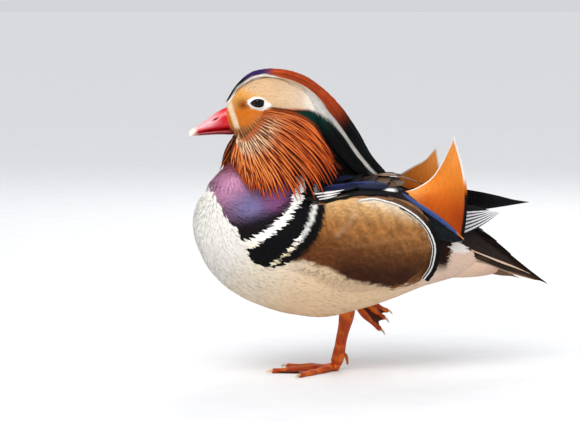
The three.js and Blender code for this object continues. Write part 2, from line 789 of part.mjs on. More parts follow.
function makeFootLeft(grow = 0) {
  const hub = vec(TARSUS.toes[0], TARSUS.toes[1], 3.6);
  const toe = ([x, y], thickness, joints) => {
    const points = [0, 0.3, 0.65, 1].map((t) =>
      vec(lerp(hub.x, x, t), lerp(hub.y, y, t), lerp(3.2, 1.7, t ** 0.7)),
    );
    return makeToe(points, thickness, joints, grow);
  };
  const end = ([x, y]) => vec(x, y, 1.2);
  const webHub = vec(hub.x - 2, hub.y, 1.2);
  const pieces = [
    pebble([hub.x - 1, hub.y, 3], [6, 5.2, 4.2], { grow }),
    toe(TOES.middle, 3.3, 3),
    toe(TOES.outer, 3, 3),
    toe(TOES.inner, 3, 2),
    makeWeb(webHub, end(TOES.middle), end(TOES.outer), 1.1),
    makeWeb(webHub, end(TOES.inner), end(TOES.middle), 1.1),
  ];
  const slab = solid(new THREE.BoxGeometry(200, 200, 60), (p) => p.add(vec(0, 0, 30)));
  return join(pieces).intersect(slab);
}

// The shank, flattened from side to side, with the small hind toe on its back.
function makeLegLeft() {
  const [ankle, toes] = [TARSUS.ankle, TARSUS.toes].map((p) => vec(...p));
  const above = ankle.clone().add(vec(-2, -3, 14));
  const middle = ankle.clone().lerp(toes, 0.5).add(vec(0.6, 0, 0));
  const shank = tube([above, ankle, middle, toes], (t) => {
    const atAnkle = Math.exp(-(((t - 0.28) / 0.16) ** 2));
    const atToes = smoothstep(t, 0.8, 1);
    return 4.4 + 1.8 * atAnkle + 0.9 * atToes;
  }, { steps: 10, sides: 9, flat: 0.82 });
  const hindToe = tube(
    [vec(2, -2, 14), vec(7.4, -2, 12.5), vec(9.2, -2, 8), vec(9.4, -2, 4.6)],
    (t) => lerp(2.2, 0.7, t),
    { steps: 5, sides: 6 },
  );
  return join([shank, hindToe]);
}

// The lifted foot hangs half closed from the feathers of the belly, its toes to the rear.
const LIFTED = {
  hub: [16, 16, 57],
  inner: [42, 14, 29.5],
  middle: [47, 20, 38],
  outer: [51, 25, 43.5],
};

function makeFootRight() {
  const hub = vec(...LIFTED.hub);
  const toe = (key, sag, thickness, joints) => {
    const tip = vec(...LIFTED[key]);
    const knuckle = hub.clone().lerp(tip, 0.55).add(vec(sag, 0, sag * 0.6));
    return makeToe([hub, knuckle, tip], thickness, joints);
  };
  const end = (key) => vec(...LIFTED[key]);
  return join([
    pebble(LIFTED.hub, [6, 5, 6]),
    toe('inner', -1, 3, 2),
    toe('middle', 1.5, 3, 3),
    toe('outer', 1, 3, 3),
    makeWeb(hub, end('inner'), end('middle'), 1.2),
    makeWeb(hub, end('middle'), end('outer'), 1.2),
  ]);
}

// Each piece is cut clear of the pieces it grows from or lies against.

const near = {
  torso: makeTorso(GAP),
  neck: makeNeck(GAP),
  head: makeHead(GAP),
  crest: makeCrest(GAP),
  ruff: { [LEFT]: makeRuff(LEFT, GAP), [RIGHT]: makeRuff(RIGHT, GAP) },
  sail: { [LEFT]: makeSail(LEFT, GAP), [RIGHT]: makeSail(RIGHT, GAP) },
  wing: { [LEFT]: makeWing(LEFT, GAP), [RIGHT]: makeWing(RIGHT, GAP) },
  flank: { [LEFT]: makeFlank(LEFT, GAP), [RIGHT]: makeFlank(RIGHT, GAP) },
};
const clearOf = (whole, ...others) =>
  largest(others.reduce((rest, other) => rest.subtract(other), whole));

const duck = new THREE.Group();
duck.name = 'mandarin_duck';

function addNode(name, whole, colour, roughness) {
  const mesh = whole.simplify(SLACK).getMesh();
  const geometry = new THREE.BufferGeometry();
  geometry.setAttribute('position', new THREE.BufferAttribute(mesh.vertProperties, 3));
  geometry.setIndex(new THREE.BufferAttribute(mesh.triVerts, 1));
  geometry.computeVertexNormals();
  const material = new THREE.MeshStandardMaterial({ color: colour, roughness, metalness: 0 });
  const node = new THREE.Mesh(geometry, material);
  node.name = name;
  duck.add(node);
}

const eyes = [makeEye(LEFT, GAP), makeEye(RIGHT, GAP)];
addNode('torso', clearOf(makeTorso(0)), 0xe9e2d6, 0.9);
addNode('neck', clearOf(makeNeck(0), near.torso, near.head), 0x8a3c12, 0.9);
addNode('head', clearOf(makeHead(0), ...eyes), 0xe6b877, 0.9);
addNode('bill_upper',
  clearOf(makeUpperBill(0), near.head, makeNostril(LEFT), makeNostril(RIGHT)), 0xc8202c, 0.35);
addNode('bill_lower', clearOf(makeLowerBill(0), near.head, makeUpperBill(GAP)), 0xa81c24, 0.4);
addNode('crest', clearOf(makeCrest(0), near.head, near.neck, near.torso), 0x7a2410, 0.7);
addNode('tail', clearOf(makeTail(0), near.torso), 0x2a211c, 0.7);
addNode('vent', clearOf(makeVent(0), near.torso, makeTail(GAP)), 0xeae4dc, 0.9);
addNode('leg_left', clearOf(makeLegLeft(), near.torso, makeFootLeft(GAP)), 0xc2560f, 0.55);
addNode('foot_left', clearOf(makeFootLeft()), 0xc85c14, 0.55);
addNode('foot_right', clearOf(makeFootRight(), near.torso), 0xa8420f, 0.55);
[['left', LEFT], ['right', RIGHT]].forEach(([word, side]) => {
  const { ruff, sail, wing } = near;
  addNode(`eye_${word}`, makeEye(side, 0), 0x0b0807, 0.1);
  addNode(`ruff_${word}`,
    clearOf(makeRuff(side, 0), near.head, near.neck, near.torso, near.crest), 0xc85a1a, 0.7);
  addNode(`sail_${word}`, clearOf(makeSail(side, 0), near.torso), 0xe07a1e, 0.6);
  addNode(`wing_${word}`,
    clearOf(makeWing(side, 0), near.torso, near.neck, near.crest, ruff[side], sail[side]),
    0x3a332e, 0.6);
  addNode(`flank_${word}`,
    clearOf(makeFlank(side, 0), near.torso, near.neck, wing[side], ruff[side]), 0xc08a4a, 0.8);
});

export default duck;
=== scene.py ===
import math

import bpy
import numpy as np
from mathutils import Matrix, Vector, kdtree


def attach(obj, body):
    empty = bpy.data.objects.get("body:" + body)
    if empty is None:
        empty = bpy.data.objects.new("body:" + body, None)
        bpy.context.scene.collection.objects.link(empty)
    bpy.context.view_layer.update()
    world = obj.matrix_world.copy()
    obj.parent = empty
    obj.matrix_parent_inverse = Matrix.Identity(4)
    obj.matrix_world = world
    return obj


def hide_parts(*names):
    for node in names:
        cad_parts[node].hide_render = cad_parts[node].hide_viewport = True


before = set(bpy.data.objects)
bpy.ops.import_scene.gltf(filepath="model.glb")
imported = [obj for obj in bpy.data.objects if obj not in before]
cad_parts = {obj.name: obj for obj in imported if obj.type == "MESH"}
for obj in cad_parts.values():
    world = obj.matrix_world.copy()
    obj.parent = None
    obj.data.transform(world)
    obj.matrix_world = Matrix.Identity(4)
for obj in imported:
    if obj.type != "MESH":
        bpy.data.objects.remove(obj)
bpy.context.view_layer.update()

MM = 0.001
LEFT, RIGHT = -1, 1
SIDES = {"left": LEFT, "right": RIGHT}

# The camera stands where the photographer stood.
TARGET = np.array([-37.8, 0.0, 124.8])
DISTANCE = 1900.0
PIXEL = 0.8
IMAGE_WIDTH, IMAGE_HEIGHT = 580, 435
YAW, RISE = math.radians(13), math.radians(5)
FORWARD = np.array(
    [math.sin(YAW) * math.cos(RISE), math.cos(YAW) * math.cos(RISE), -math.sin(RISE)]
)
ACROSS = np.array([math.cos(YAW), -math.sin(YAW), 0.0])
UPWARD = np.cross(ACROSS, FORWARD)
EYE_POINT = TARGET - FORWARD * DISTANCE

# Sizes of the solids
HEAD_TURN = math.radians(9)
TURN_CENTRE_X = -38.0
EYE_RADIUS = 6.0
EYE_X, EYE_Y, EYE_Z = -64.2, 14.6, 217.0
# Sections of the trunk and head: x, top, bottom, half width; of the neck: z, back, front, half
TORSO_ROWS = [
    (-117, 120, 120, 0), (-113, 138, 102, 19), (-104, 149, 84, 33), (-90, 152, 69, 41),
    (-70, 152, 57, 46.5), (-40, 152, 47, 50), (-14, 152, 43.6, 51.5), (17, 154, 49, 51),
    (45, 152, 57, 46), (70, 142, 65.5, 37), (90, 128, 70.5, 28), (110, 116, 76, 18),
    (130, 98, 98, 0),
]
HEAD_ROWS = [
    (-91.5, 207, 207, 0), (-89.5, 214, 198, 9), (-84, 223.5, 190.5, 13),
    (-76, 231, 186, 16.5), (-66, 236.5, 183, 19.2), (-52, 238.5, 181, 20.8),
    (-38, 235, 181, 20.6), (-24, 229, 183, 18), (-13, 217, 187, 13), (-6, 202, 202, 0),
]
NECK_ROWS = [
    (132, -45, -45, 0), (134, 18, -106, 40), (150, 13, -105, 36), (161, 6, -96.5, 31.5),
    (172, -1, -85, 28), (184, -8, -76.5, 24.5), (198, -12, -75, 21), (212, -44, -44, 0),
]
UPPER_BILL_ROWS = [
    (-118.6, 192, 192, 0), (-117.2, 194.4, 189.8, 4.2), (-113, 197.6, 191.6, 7),
    (-106, 202.4, 193.4, 7.4), (-98, 208.2, 194.4, 7.8), (-90, 212.6, 195.4, 8.8),
    (-84, 214.5, 196, 9.5), (-80, 205, 205, 0),
]
LOWER_BILL_ROWS = [
    (-115.6, 192.4, 192.4, 0), (-113.8, 193.4, 190.4, 4.4), (-106, 194.4, 190.9, 6.2),
    (-96, 195.4, 191.3, 7), (-86, 196, 191.4, 7.4), (-80, 194, 194, 0),
]
# Outline of the crest from the bill to its tip on the back: x, z, half width, depth
CREST_ROWS = [
    (-89.5, 217.5, 3, 3), (-80, 231, 5.5, 4), (-66, 241, 8, 5), (-46, 242.6, 11, 8),
    (-25, 236.5, 14, 13), (-3, 219, 16, 21), (14, 197, 15, 26), (28, 174, 13, 22),
    (43, 157, 5, 5),
]
# Plumes of the ruff, as root, bend and tip
RUFF_GUIDES = [
    [(-80, 19, 192), (-84, 26, 181), (-90.5, 29, 165)],
    [(-79, 20, 189), (-79, 30, 167), (-79, 37, 149)],
    [(-75, 20, 190), (-68, 33, 166), (-65, 41, 140.5)],
    [(-70, 20, 195), (-48, 34, 172), (-40, 42, 141.5)],
    [(-66, 20, 201), (-33, 34, 187), (-21, 41, 146)],
    [(-62, 20, 207), (-26, 31, 200), (-6, 36, 157)],
    [(-60, 20, 211), (-16.0, 27, 210.3), (-8, 31, 172)],
]
SAILS = {
    LEFT: {
        "shaft": [(46, 21, 144), (61, 25, 137), (78, 28, 125.5), (98, 30, 107.5)],
        "edge": [(47, 20, 145), (61, 17, 147.5), (75, 17, 156), (83, 20, 169), (87, 25, 181),
                 (90, 29, 190.5)],
        "belly": 5,
    },
    RIGHT: {
        "shaft": [(46, 21, 144), (61, 25, 138), (78, 28, 127), (98, 30, 109)],
        "edge": [(47, 19, 147), (56, 15, 156), (67, 14, 163), (79, 18, 168.5), (86, 23, 174),
                 (92, 28, 179)],
        "belly": 4,
    },
}
PRIMARIES = {
    LEFT: {"tip": (135, 9, 126.5), "spread": (109, 133), "bow": 2, "reach": 9},
    RIGHT: {"tip": (161.5, -3, 134), "spread": (124, 142), "bow": 9, "reach": 12},
}
# The ridge of rump and tail, and its lower edge on each side: x, half width, height
TAIL_RIDGE = [
    (94, 0, 125), (110, 0, 118), (121, 0, 112.5), (135, 0, 102), (147, 0, 91.4),
    (162.6, 0, 78.6), (179, 0, 66),
]
TAIL_RIM = [
    (92, 19, 104), (109, 16.5, 96.5), (126, 14.5, 89.5), (139, 12, 84.3), (150, 9, 80),
    (160, 6.5, 75.5), (172, 3, 69.5),
]


# Numbers and curves


def lerp(a, b, t):
    return a + (b - a) * t


def smooth(x, low, high):
    """0 below low, 1 above high, with a soft step between; it also runs downwards."""
    t = np.clip((np.asarray(x, float) - low) / (high - low), 0, 1)
    return t * t * (3 - 2 * t)


def unit(v):
    return v / np.maximum(np.linalg.norm(v, axis=-1, keepdims=True), 1e-9)


def hump(x, centre, width):
    return np.exp(-(((x - centre) / width) ** 2))


def profile(points):
    """A smooth curve through (place, value) pairs that never overshoots them."""
    x, y = np.array(points, float).T
    slope = np.diff(y) / np.diff(x)
    lean = np.empty(len(x))
    lean[0], lean[-1] = slope[0], slope[-1]
    product, total = slope[:-1] * slope[1:], slope[:-1] + slope[1:]
    lean[1:-1] = np.where(product > 0, 2 * product / np.where(product > 0, total, 1), 0)

    def value(at):
        place = np.clip(at, x[0], x[-1])
        i = np.clip(np.searchsorted(x, place) - 1, 0, len(x) - 2)
        h = x[i + 1] - x[i]
        t = (place - x[i]) / h
        rest = 1 - t
        return (
            y[i] * (1 + 2 * t) * rest**2
            + y[i + 1] * t * t * (3 - 2 * t)
            + h * t * rest * (lean[i] * rest - lean[i + 1] * t)
        )

    return value


def spline(points, t, uniform=False):
    """Points on a Catmull-Rom curve, at shares of its spans."""
    rows = np.array(points, float)
    last = len(rows) - 1
    place = np.clip(np.asarray(t, float), 0, 1) * last
    i = np.minimum(np.floor(place).astype(int), last - 1)
    w = (place - i)[..., None]
    if uniform:
        padded = np.vstack([rows[0], rows, rows[-1]])
    else:
        padded = np.vstack([2 * rows[0] - rows[1], rows, 2 * rows[-1] - rows[-2]])
    p0, p1, p2, p3 = (padded[i + k] for k in range(4))
    if uniform:
        lean1, lean2 = (p2 - p0) / 2, (p3 - p1) / 2
    else:
        gaps = np.maximum(np.linalg.norm(np.diff(padded, axis=0), axis=1), 1e-9) ** 0.5
        d0, d1, d2 = (gaps[i + k][..., None] for k in range(3))
        lean1 = ((p1 - p0) / d0 - (p2 - p0) / (d0 + d1) + (p2 - p1) / d1) * d1
        lean2 = ((p2 - p1) / d1 - (p3 - p1) / (d1 + d2) + (p3 - p2) / d2) * d1
    return (
        p1 + lean1 * w + (3 * (p2 - p1) - 2 * lean1 - lean2) * w**2
        + (2 * (p1 - p2) + lean1 + lean2) * w**3
    )


def turned(p, way=1):
    """The head and what goes with it turns about an upright axis; way -1 turns it back."""
    p = np.asarray(p, float)
    q = p
    for _ in range(1 if way == 1 else 3):
        share = smooth(q[..., 2], 150, 196) * (1 - smooth(q[..., 0], -6, 44))
        angle = -way * HEAD_TURN * share
        dx = p[..., 0] - TURN_CENTRE_X
        q = np.stack(
            [
                TURN_CENTRE_X + dx * np.cos(angle) - p[..., 1] * np.sin(angle),
                dx * np.sin(angle) + p[..., 1] * np.cos(angle),
                p[..., 2],
            ],
            -1,
        )
    return q


def ripple(p, size, seed=0):
    """A smooth field of about -1 to 1 whose waves are `size` long."""
    rng = np.random.default_rng(seed)
    total = np.zeros(p.shape[:-1])
    for _ in range(5):
        wave = unit(rng.normal(size=p.shape[-1])) * (2 * math.pi / size) * rng.uniform(0.7, 1.5)
        total += np.sin(p @ wave + rng.uniform(0, 6.28))
    return total / 2.6


def soft_body(rows, upright=False, squareness=2.25):
    """A rounded body from sections: gives the point at a place along it and an angle round it."""
    rows = np.array(rows, float)
    first, length = rows[0, 0], rows[-1, 0] - rows[0, 0]

    def turn_of(s):
        return np.arccos(np.clip(1 - 2 * (s - first) / length, -1, 1))

    high, low, half = (profile(np.c_[turn_of(rows[:, 0]), rows[:, k]]) for k in (1, 2, 3))

    def bulge(v):
        return np.sign(v) * np.abs(v) ** (2 / squareness)

    def at(s, angle, grow=0.0):
        s, angle, grow = np.broadcast_arrays(np.asarray(s, float), angle, grow)
        u = turn_of(s)
        cross = (high(u) + low(u)) / 2 + ((high(u) - low(u)) / 2 + grow) * bulge(np.cos(angle))
        side = (half(u) + grow) * bulge(np.sin(angle))
        return np.stack([cross, side, s] if upright else [s, side, cross], -1)

    def whole(around, along, grow=0.0):
        u = np.linspace(0, math.pi, along + 1)[:, None]
        s = first + length * (1 - np.cos(u)) / 2
        angles = np.linspace(0, 2 * math.pi, around, endpoint=False)[None]
        p = at(s, angles, grow * np.sqrt(np.maximum(np.sin(u), 0)))
        p[..., 2 if upright else 0] -= grow * np.cos(u)
        return p

    return at, whole


torso_at, torso_whole = soft_body(TORSO_ROWS)
_, head_whole = soft_body(HEAD_ROWS, squareness=2.1)
_, neck_whole = soft_body(NECK_ROWS, upright=True, squareness=2)


def on_trunk(side, x, degrees, off):
    """A point on one side of the trunk, `off` outside it; degrees run from the back down."""
    p = torso_at(x, np.radians(degrees), off)
    p[..., 1] *= side
    return p


crest_rows = np.array(CREST_ROWS, float)
crest_shares = np.linspace(0, 1, len(CREST_ROWS))
crest_half = profile(np.c_[crest_shares, crest_rows[:, 2]])
crest_depth = profile(np.c_[crest_shares, crest_rows[:, 3]])


def on_crest(s, degrees, off):
    """A point of the crest: s from bill to tip, turned from its outer ridge to either side."""
    s, degrees, off = np.broadcast_arrays(np.asarray(s, float), degrees, off)
    at = np.clip(s, 0, 1)
    line = crest_rows[:, :2]
    point = spline(line, at, uniform=True)
    step = 1e-3
    ahead, behind = np.minimum(at + step, 1), np.maximum(at - step, 0)
    tangent = unit(spline(line, ahead, uniform=True) - spline(line, behind, uniform=True))
    point = point + tangent * (np.maximum(s - 1, 0) * 160)[..., None]
    inward = np.stack([tangent[..., 1], -tangent[..., 0]], -1)
    angle = np.radians(degrees)
    reach = crest_depth(at) * (1 - np.cos(angle)) - off * np.cos(angle)
    point = point + inward * reach[..., None]
    return np.stack([point[..., 0], (crest_half(at) + off) * np.sin(angle), point[..., 1]], -1)


# Meshes


def new_piece(name, points, faces, material, colour=None, maps=None):
    """A mesh object from arrays of points, and of faces that each have one number of corners."""
    mesh = bpy.data.meshes.new(name)
    mesh.vertices.add(len(points))
    mesh.vertices.foreach_set("co", (np.asarray(points) * MM).astype(np.float32).ravel())
    corners = np.concatenate([f.ravel() for f in faces]).astype(np.int32)
    sizes = np.concatenate([np.full(len(f), f.shape[1]) for f in faces])
    mesh.loops.add(len(corners))
    mesh.loops.foreach_set("vertex_index", corners)
    mesh.polygons.add(len(sizes))
    starts = np.concatenate([[0], np.cumsum(sizes)[:-1]]).astype(np.int32)
    mesh.polygons.foreach_set("loop_start", starts)
    mesh.update(calc_edges=True)
    mesh.polygons.foreach_set("use_smooth", np.ones(len(sizes), bool))
    if colour is not None:
        paint(mesh, colour)
    for key, uv in (maps or {}).items():
        layer = mesh.uv_layers.new(name=key)
        layer.data.foreach_set("uv", uv[corners].astype(np.float32).ravel())
    mesh.materials.append(material)
    piece = bpy.data.objects.new(name, mesh)
    bpy.context.scene.collection.objects.link(piece)
    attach(piece, "root")
    return piece


def paint(mesh, colour):
    layer = mesh.color_attributes.new("Col", "FLOAT_COLOR", "POINT")
    rgba = np.ones((len(colour), 4), np.float32)
    rgba[:, :3] = np.clip(colour, 0, 1)
    layer.data.foreach_set("color", rgba.ravel())


def grid_faces(rows, cols, wrap=False, start=0):
    """Quads of a grid of points, closed round each row if it wraps."""
    i = np.arange(rows - 1)[:, None]
    j = np.arange(cols if wrap else cols - 1)[None]
    k = (j + 1) % cols
    quads = np.stack([i * cols + j, i * cols + k, (i + 1) * cols + k, (i + 1) * cols + j], -1)
    return quads.reshape(-1, 4) + start


class Bunch:
    """Closed blades gathered into one mesh, with their colours and maps."""

    def __init__(self):
        self.points, self.faces, self.colours, self.normals = [], {}, [], []
        self.maps = {"OFBake": [], "Barb": [], "Vane": []}
        self.count = 0

    def add(self, path, up, width, thick, colour, cols=3, bow=0.0, place=None, patch=0.003,
            soft=0.0):
        """Blades along paths (n, m, 3), with the outer face towards `up`.

        `colour` is an array (n, 3) or a function of points, share across and share along.
        `place` is where each root lies on the unwrap of the skin. `soft` is how far a blade is
        shaded as the surface that it lies on.
        """
        n, m = path.shape[:2]
        width, thick = (np.broadcast_to(v, (n, m)) for v in (width, thick))
        tangent = unit(np.gradient(path, axis=1))
        up = np.broadcast_to(up if up.ndim == 3 else up[:, None], path.shape)
        ground = up
        side = unit(np.cross(tangent, up))
        up = np.cross(side, tangent)
        c = np.linspace(-1, 1, cols)
        spread = side[:, :, None] * (width / 2)[..., None, None] * c[:, None]
        arch = up[:, :, None] * (width[..., None, None] * bow * (c**2)[:, None])
        body = up[:, :, None] * (thick / 2)[..., None, None] * (1 - c**2)[:, None]
        middle = path[:, :, None] + spread - arch
        top, under = middle + body, (middle - body)[:, :, 1:-1][:, :, ::-1]
        ring = np.concatenate([top, under], 2)
        size = ring.shape[2]
        across = np.concatenate([c, c[1:-1][::-1]])
        share = np.linspace(0, 1, m)
        strip = grid_faces(m, size, wrap=True)
        first, last = np.arange(size)[None, ::-1], np.arange(size)[None] + (m - 1) * size
        starts = (np.arange(n) * m * size + self.count)[:, None, None]
        for f in (strip, first, last):
            self.faces.setdefault(f.shape[1], []).append((f[None] + starts).reshape(-1, f.shape[1]))
        points = ring.reshape(-1, 3)
        tilt = c * (4 * bow + 2 * (thick / np.maximum(width, 0.1))[..., None])
        face = unit(up[:, :, None] + side[:, :, None] * tilt[..., None])
        face = unit(lerp(face, unit(ground)[:, :, None], soft))
        back = np.broadcast_to(-up[:, :, None], under.shape)
        self.normals.append(np.concatenate([face, back], 2).reshape(-1, 3))
        side_share = np.broadcast_to(across, (n, m, size))
        long_share = np.broadcast_to(share[:, None], (n, m, size))
        if callable(colour):
            shades = colour(ring, side_share, long_share).reshape(-1, 3)
        else:
            shades = np.broadcast_to(colour[:, None, None], ring.shape).reshape(-1, 3)
        lengths = np.linalg.norm(np.diff(path, axis=1), axis=-1)
        run = np.concatenate([np.zeros((n, 1)), np.cumsum(lengths, 1)], 1)
        barb = np.stack(
            [side_share * width[..., None] / 2, np.broadcast_to(run[..., None], side_share.shape)],
            -1,
        )
        vane = np.stack([side_share * 0.5 + 0.5, long_share], -1)
        if place is None:
            root = ring[:, 0].mean(1)
            place = unwrap(root)
        spot = place[:, None, None] + (vane - 0.5) * patch
        self.points.append(points)
        self.colours.append(shades)
        self.maps["OFBake"].append(spot.reshape(-1, 2))
        self.maps["Barb"].append(barb.reshape(-1, 2) * 0.1)
        self.maps["Vane"].append(vane.reshape(-1, 2))
        self.count += len(points)

    def lay(self, path, up, width, thick, colour, **options):
        """A single blade along a path (m, 3)."""
        self.add(path[None], np.reshape(up, (1, -1, 3)), width[None], thick, colour, patch=0.008,
                 **options)

    def piece(self, name, material):
        faces = [np.concatenate(self.faces[k]) for k in sorted(self.faces)]
        maps = {key: np.concatenate(rows) for key, rows in self.maps.items()}
        colours = np.concatenate(self.colours)
        piece = new_piece(name, np.concatenate(self.points), faces, material, colours, maps)
        piece.data.normals_split_custom_set_from_vertices(np.concatenate(self.normals))
        return piece


# The unwrap of the skin: the trunk as one cylinder, the neck and head as another above it

HEAD_FLOOR = 160.0
TRUNK_AXIS_Z = 98
HEAD_AXIS_X = -45


def rim_lengths(rows):
    rows = np.array(rows, float)
    steps = np.hypot(np.diff(rows[:, 0]), np.diff(rows[:, 3]))
    return rows[:, 0], np.concatenate([[0], np.cumsum(steps)])


TRUNK_X, TRUNK_RUN = rim_lengths(TORSO_ROWS)


def charts(p, centre=None):
    """Where points lie on the unwrap; `centre` picks the chart and the turn for a face's corners."""
    centre = p if centre is None else centre
    is_head = centre[..., 2] > HEAD_FLOOR

    def turn(q):
        trunk = np.arctan2(q[..., 1], q[..., 2] - TRUNK_AXIS_Z)
        head = np.arctan2(q[..., 1], HEAD_AXIS_X - q[..., 0])
        return np.where(is_head, head, trunk)

    middle = turn(centre)
    swing = (turn(p) - middle + math.pi) % (2 * math.pi) - math.pi
    angle = (middle + swing + math.pi) / (2 * math.pi)
    run = np.interp(p[..., 0], TRUNK_X, TRUNK_RUN) / TRUNK_RUN[-1]
    rise = np.clip((p[..., 2] - HEAD_FLOOR) / 85, -0.1, 1)
    u = np.where(is_head, 0.02 + 0.96 * angle, 0.02 + 0.96 * run)
    v = np.where(is_head, 0.68 + 0.3 * rise, 0.02 + 0.6 * angle)
    return np.stack([u, v], -1)


def unwrap(p):
    return charts(turned(p, -1))


# Colours and markings


def ink(r, g, b):
    """A colour given as the eye sees it, from 0 to 255, as linear light."""
    c = np.array([r, g, b]) / 255
    return np.where(c <= 0.04045, c / 12.92, ((c + 0.055) / 1.055) ** 2.4)


def blend(a, b, share):
    return a + (b - a) * np.asarray(share)[..., None]


def layered(base, *layers):
    """A colour with others laid over it in turn, each given with its share."""
    for colour, share in layers:
        base = blend(base, colour, share)
    return base


def soft_spot(x, y, centre, size):
    """A soft round spot: 1 at its centre, and fading over its size each way."""
    return np.exp(-(((x - centre[0]) / size[0]) ** 2) - ((y - centre[1]) / size[1]) ** 2)


def marking_place(p):
    """Where a point of the left side, or its mirror image, shows in the photographer's view."""
    q = turned(p, -1)
    q[..., 1] = -np.abs(q[..., 1])
    d = turned(q) - EYE_POINT
    depth = d @ FORWARD
    scale = DISTANCE / PIXEL
    return np.stack(
        [
            IMAGE_WIDTH / 2 + (d @ ACROSS) / depth * scale,
            IMAGE_HEIGHT / 2 - (d @ UPWARD) / depth * scale,
        ],
        -1,
    )


def beside(line, place):
    """Distance from the edge of a marking, above 0 on the right hand as the line runs."""
    line = np.array(line, float)
    best = np.full(place.shape[:-1], 1e9)
    side = np.ones(place.shape[:-1])
    for a, b in zip(line[:-1], line[1:]):
        ab, ap = b - a, place - a
        t = np.clip((ap @ ab) / (ab @ ab), 0, 1)
        gap = np.linalg.norm(ap - t[..., None] * ab, axis=-1)
        cross = ab[0] * ap[..., 1] - ab[1] * ap[..., 0]
        closer = gap < best - 1e-6
        best = np.where(closer, gap, best)
        side = np.where(closer, np.where(cross >= 0, 1.0, -1.0), side)
    return best * side


def locate(spots, off):
    """Rows of x, degrees and height on the left of the trunk that show at spots of the view."""
    spots = np.atleast_2d(np.array(spots, float))
    off = np.broadcast_to(np.asarray(off, float), len(spots))
    x, degrees = np.meshgrid(np.linspace(-90, 118, 105), np.linspace(2, 130, 65))
    shown = marking_place(on_trunk(LEFT, x, degrees, float(off.mean()))).reshape(-1, 2)
    near = ((shown[None] - spots[:, None]) ** 2).sum(-1).argmin(1)
    found = np.c_[x.ravel()[near], degrees.ravel()[near]]
    step = 0.5
    for _ in range(6):
        here = marking_place(on_trunk(LEFT, found[:, 0], found[:, 1], off))
        by_x = marking_place(on_trunk(LEFT, found[:, 0] + step, found[:, 1], off)) - here
        by_turn = marking_place(on_trunk(LEFT, found[:, 0], found[:, 1] + step, off)) - here
        miss = spots - here
        area = by_x[:, 0] * by_turn[:, 1] - by_x[:, 1] * by_turn[:, 0]
        area = np.where(np.abs(area) < 0.02, 0.02, area)
        move = np.c_[
            (miss[:, 0] * by_turn[:, 1] - miss[:, 1] * by_turn[:, 0]) / area,
            (by_x[:, 0] * miss[:, 1] - by_x[:, 1] * miss[:, 0]) / area,
        ]
        found = found + np.clip(move * step, -3, 3)
        found[:, 1] = np.clip(found[:, 1], 2, 132)
    return np.c_[found, off]


WHITE, BLACK, SOOT = ink(240, 236, 230), ink(7, 7, 9), ink(14, 10, 12)
RUST, DARK_RUST = ink(170, 62, 26), ink(96, 32, 16)
MAUVE, VIOLET, MAGENTA = ink(204, 142, 176), ink(116, 108, 152), ink(150, 86, 138)
MAROON, GREEN, CROWN = ink(52, 26, 38), ink(6, 48, 40), ink(70, 44, 108)
OLIVE, DARK_BROWN, SAND = ink(98, 80, 60), ink(38, 29, 26), ink(228, 196, 158)

# Edges and lines of the markings, in pixels of the photographer's view
CROWN_EDGE = [
    (219, 110), (229, 99.6), (236.5, 86.7), (250.4, 76.8), (264, 73.4), (280, 76.8),
    (294, 80.8), (305.8, 86.7), (315.7, 94.6), (323.6, 103.5), (329.5, 115.4), (345, 135),
]
STRIPE_EDGE = [
    (266, 107), (294, 111), (308.7, 110.4), (318.6, 113.4), (331.5, 121.3), (345, 138),
    (357, 156), (371, 172),
]
NAPE_LINE = [(327, 112), (338, 125), (349.4, 141), (359.7, 157), (371, 171)]
RUFF_TOP = [(286, 108), (294, 112), (307, 118), (314, 124), (318, 130), (324, 142), (334, 160)]
LORE = [(228.5, 99), (230.5, 108), (233.5, 117), (237, 128)]


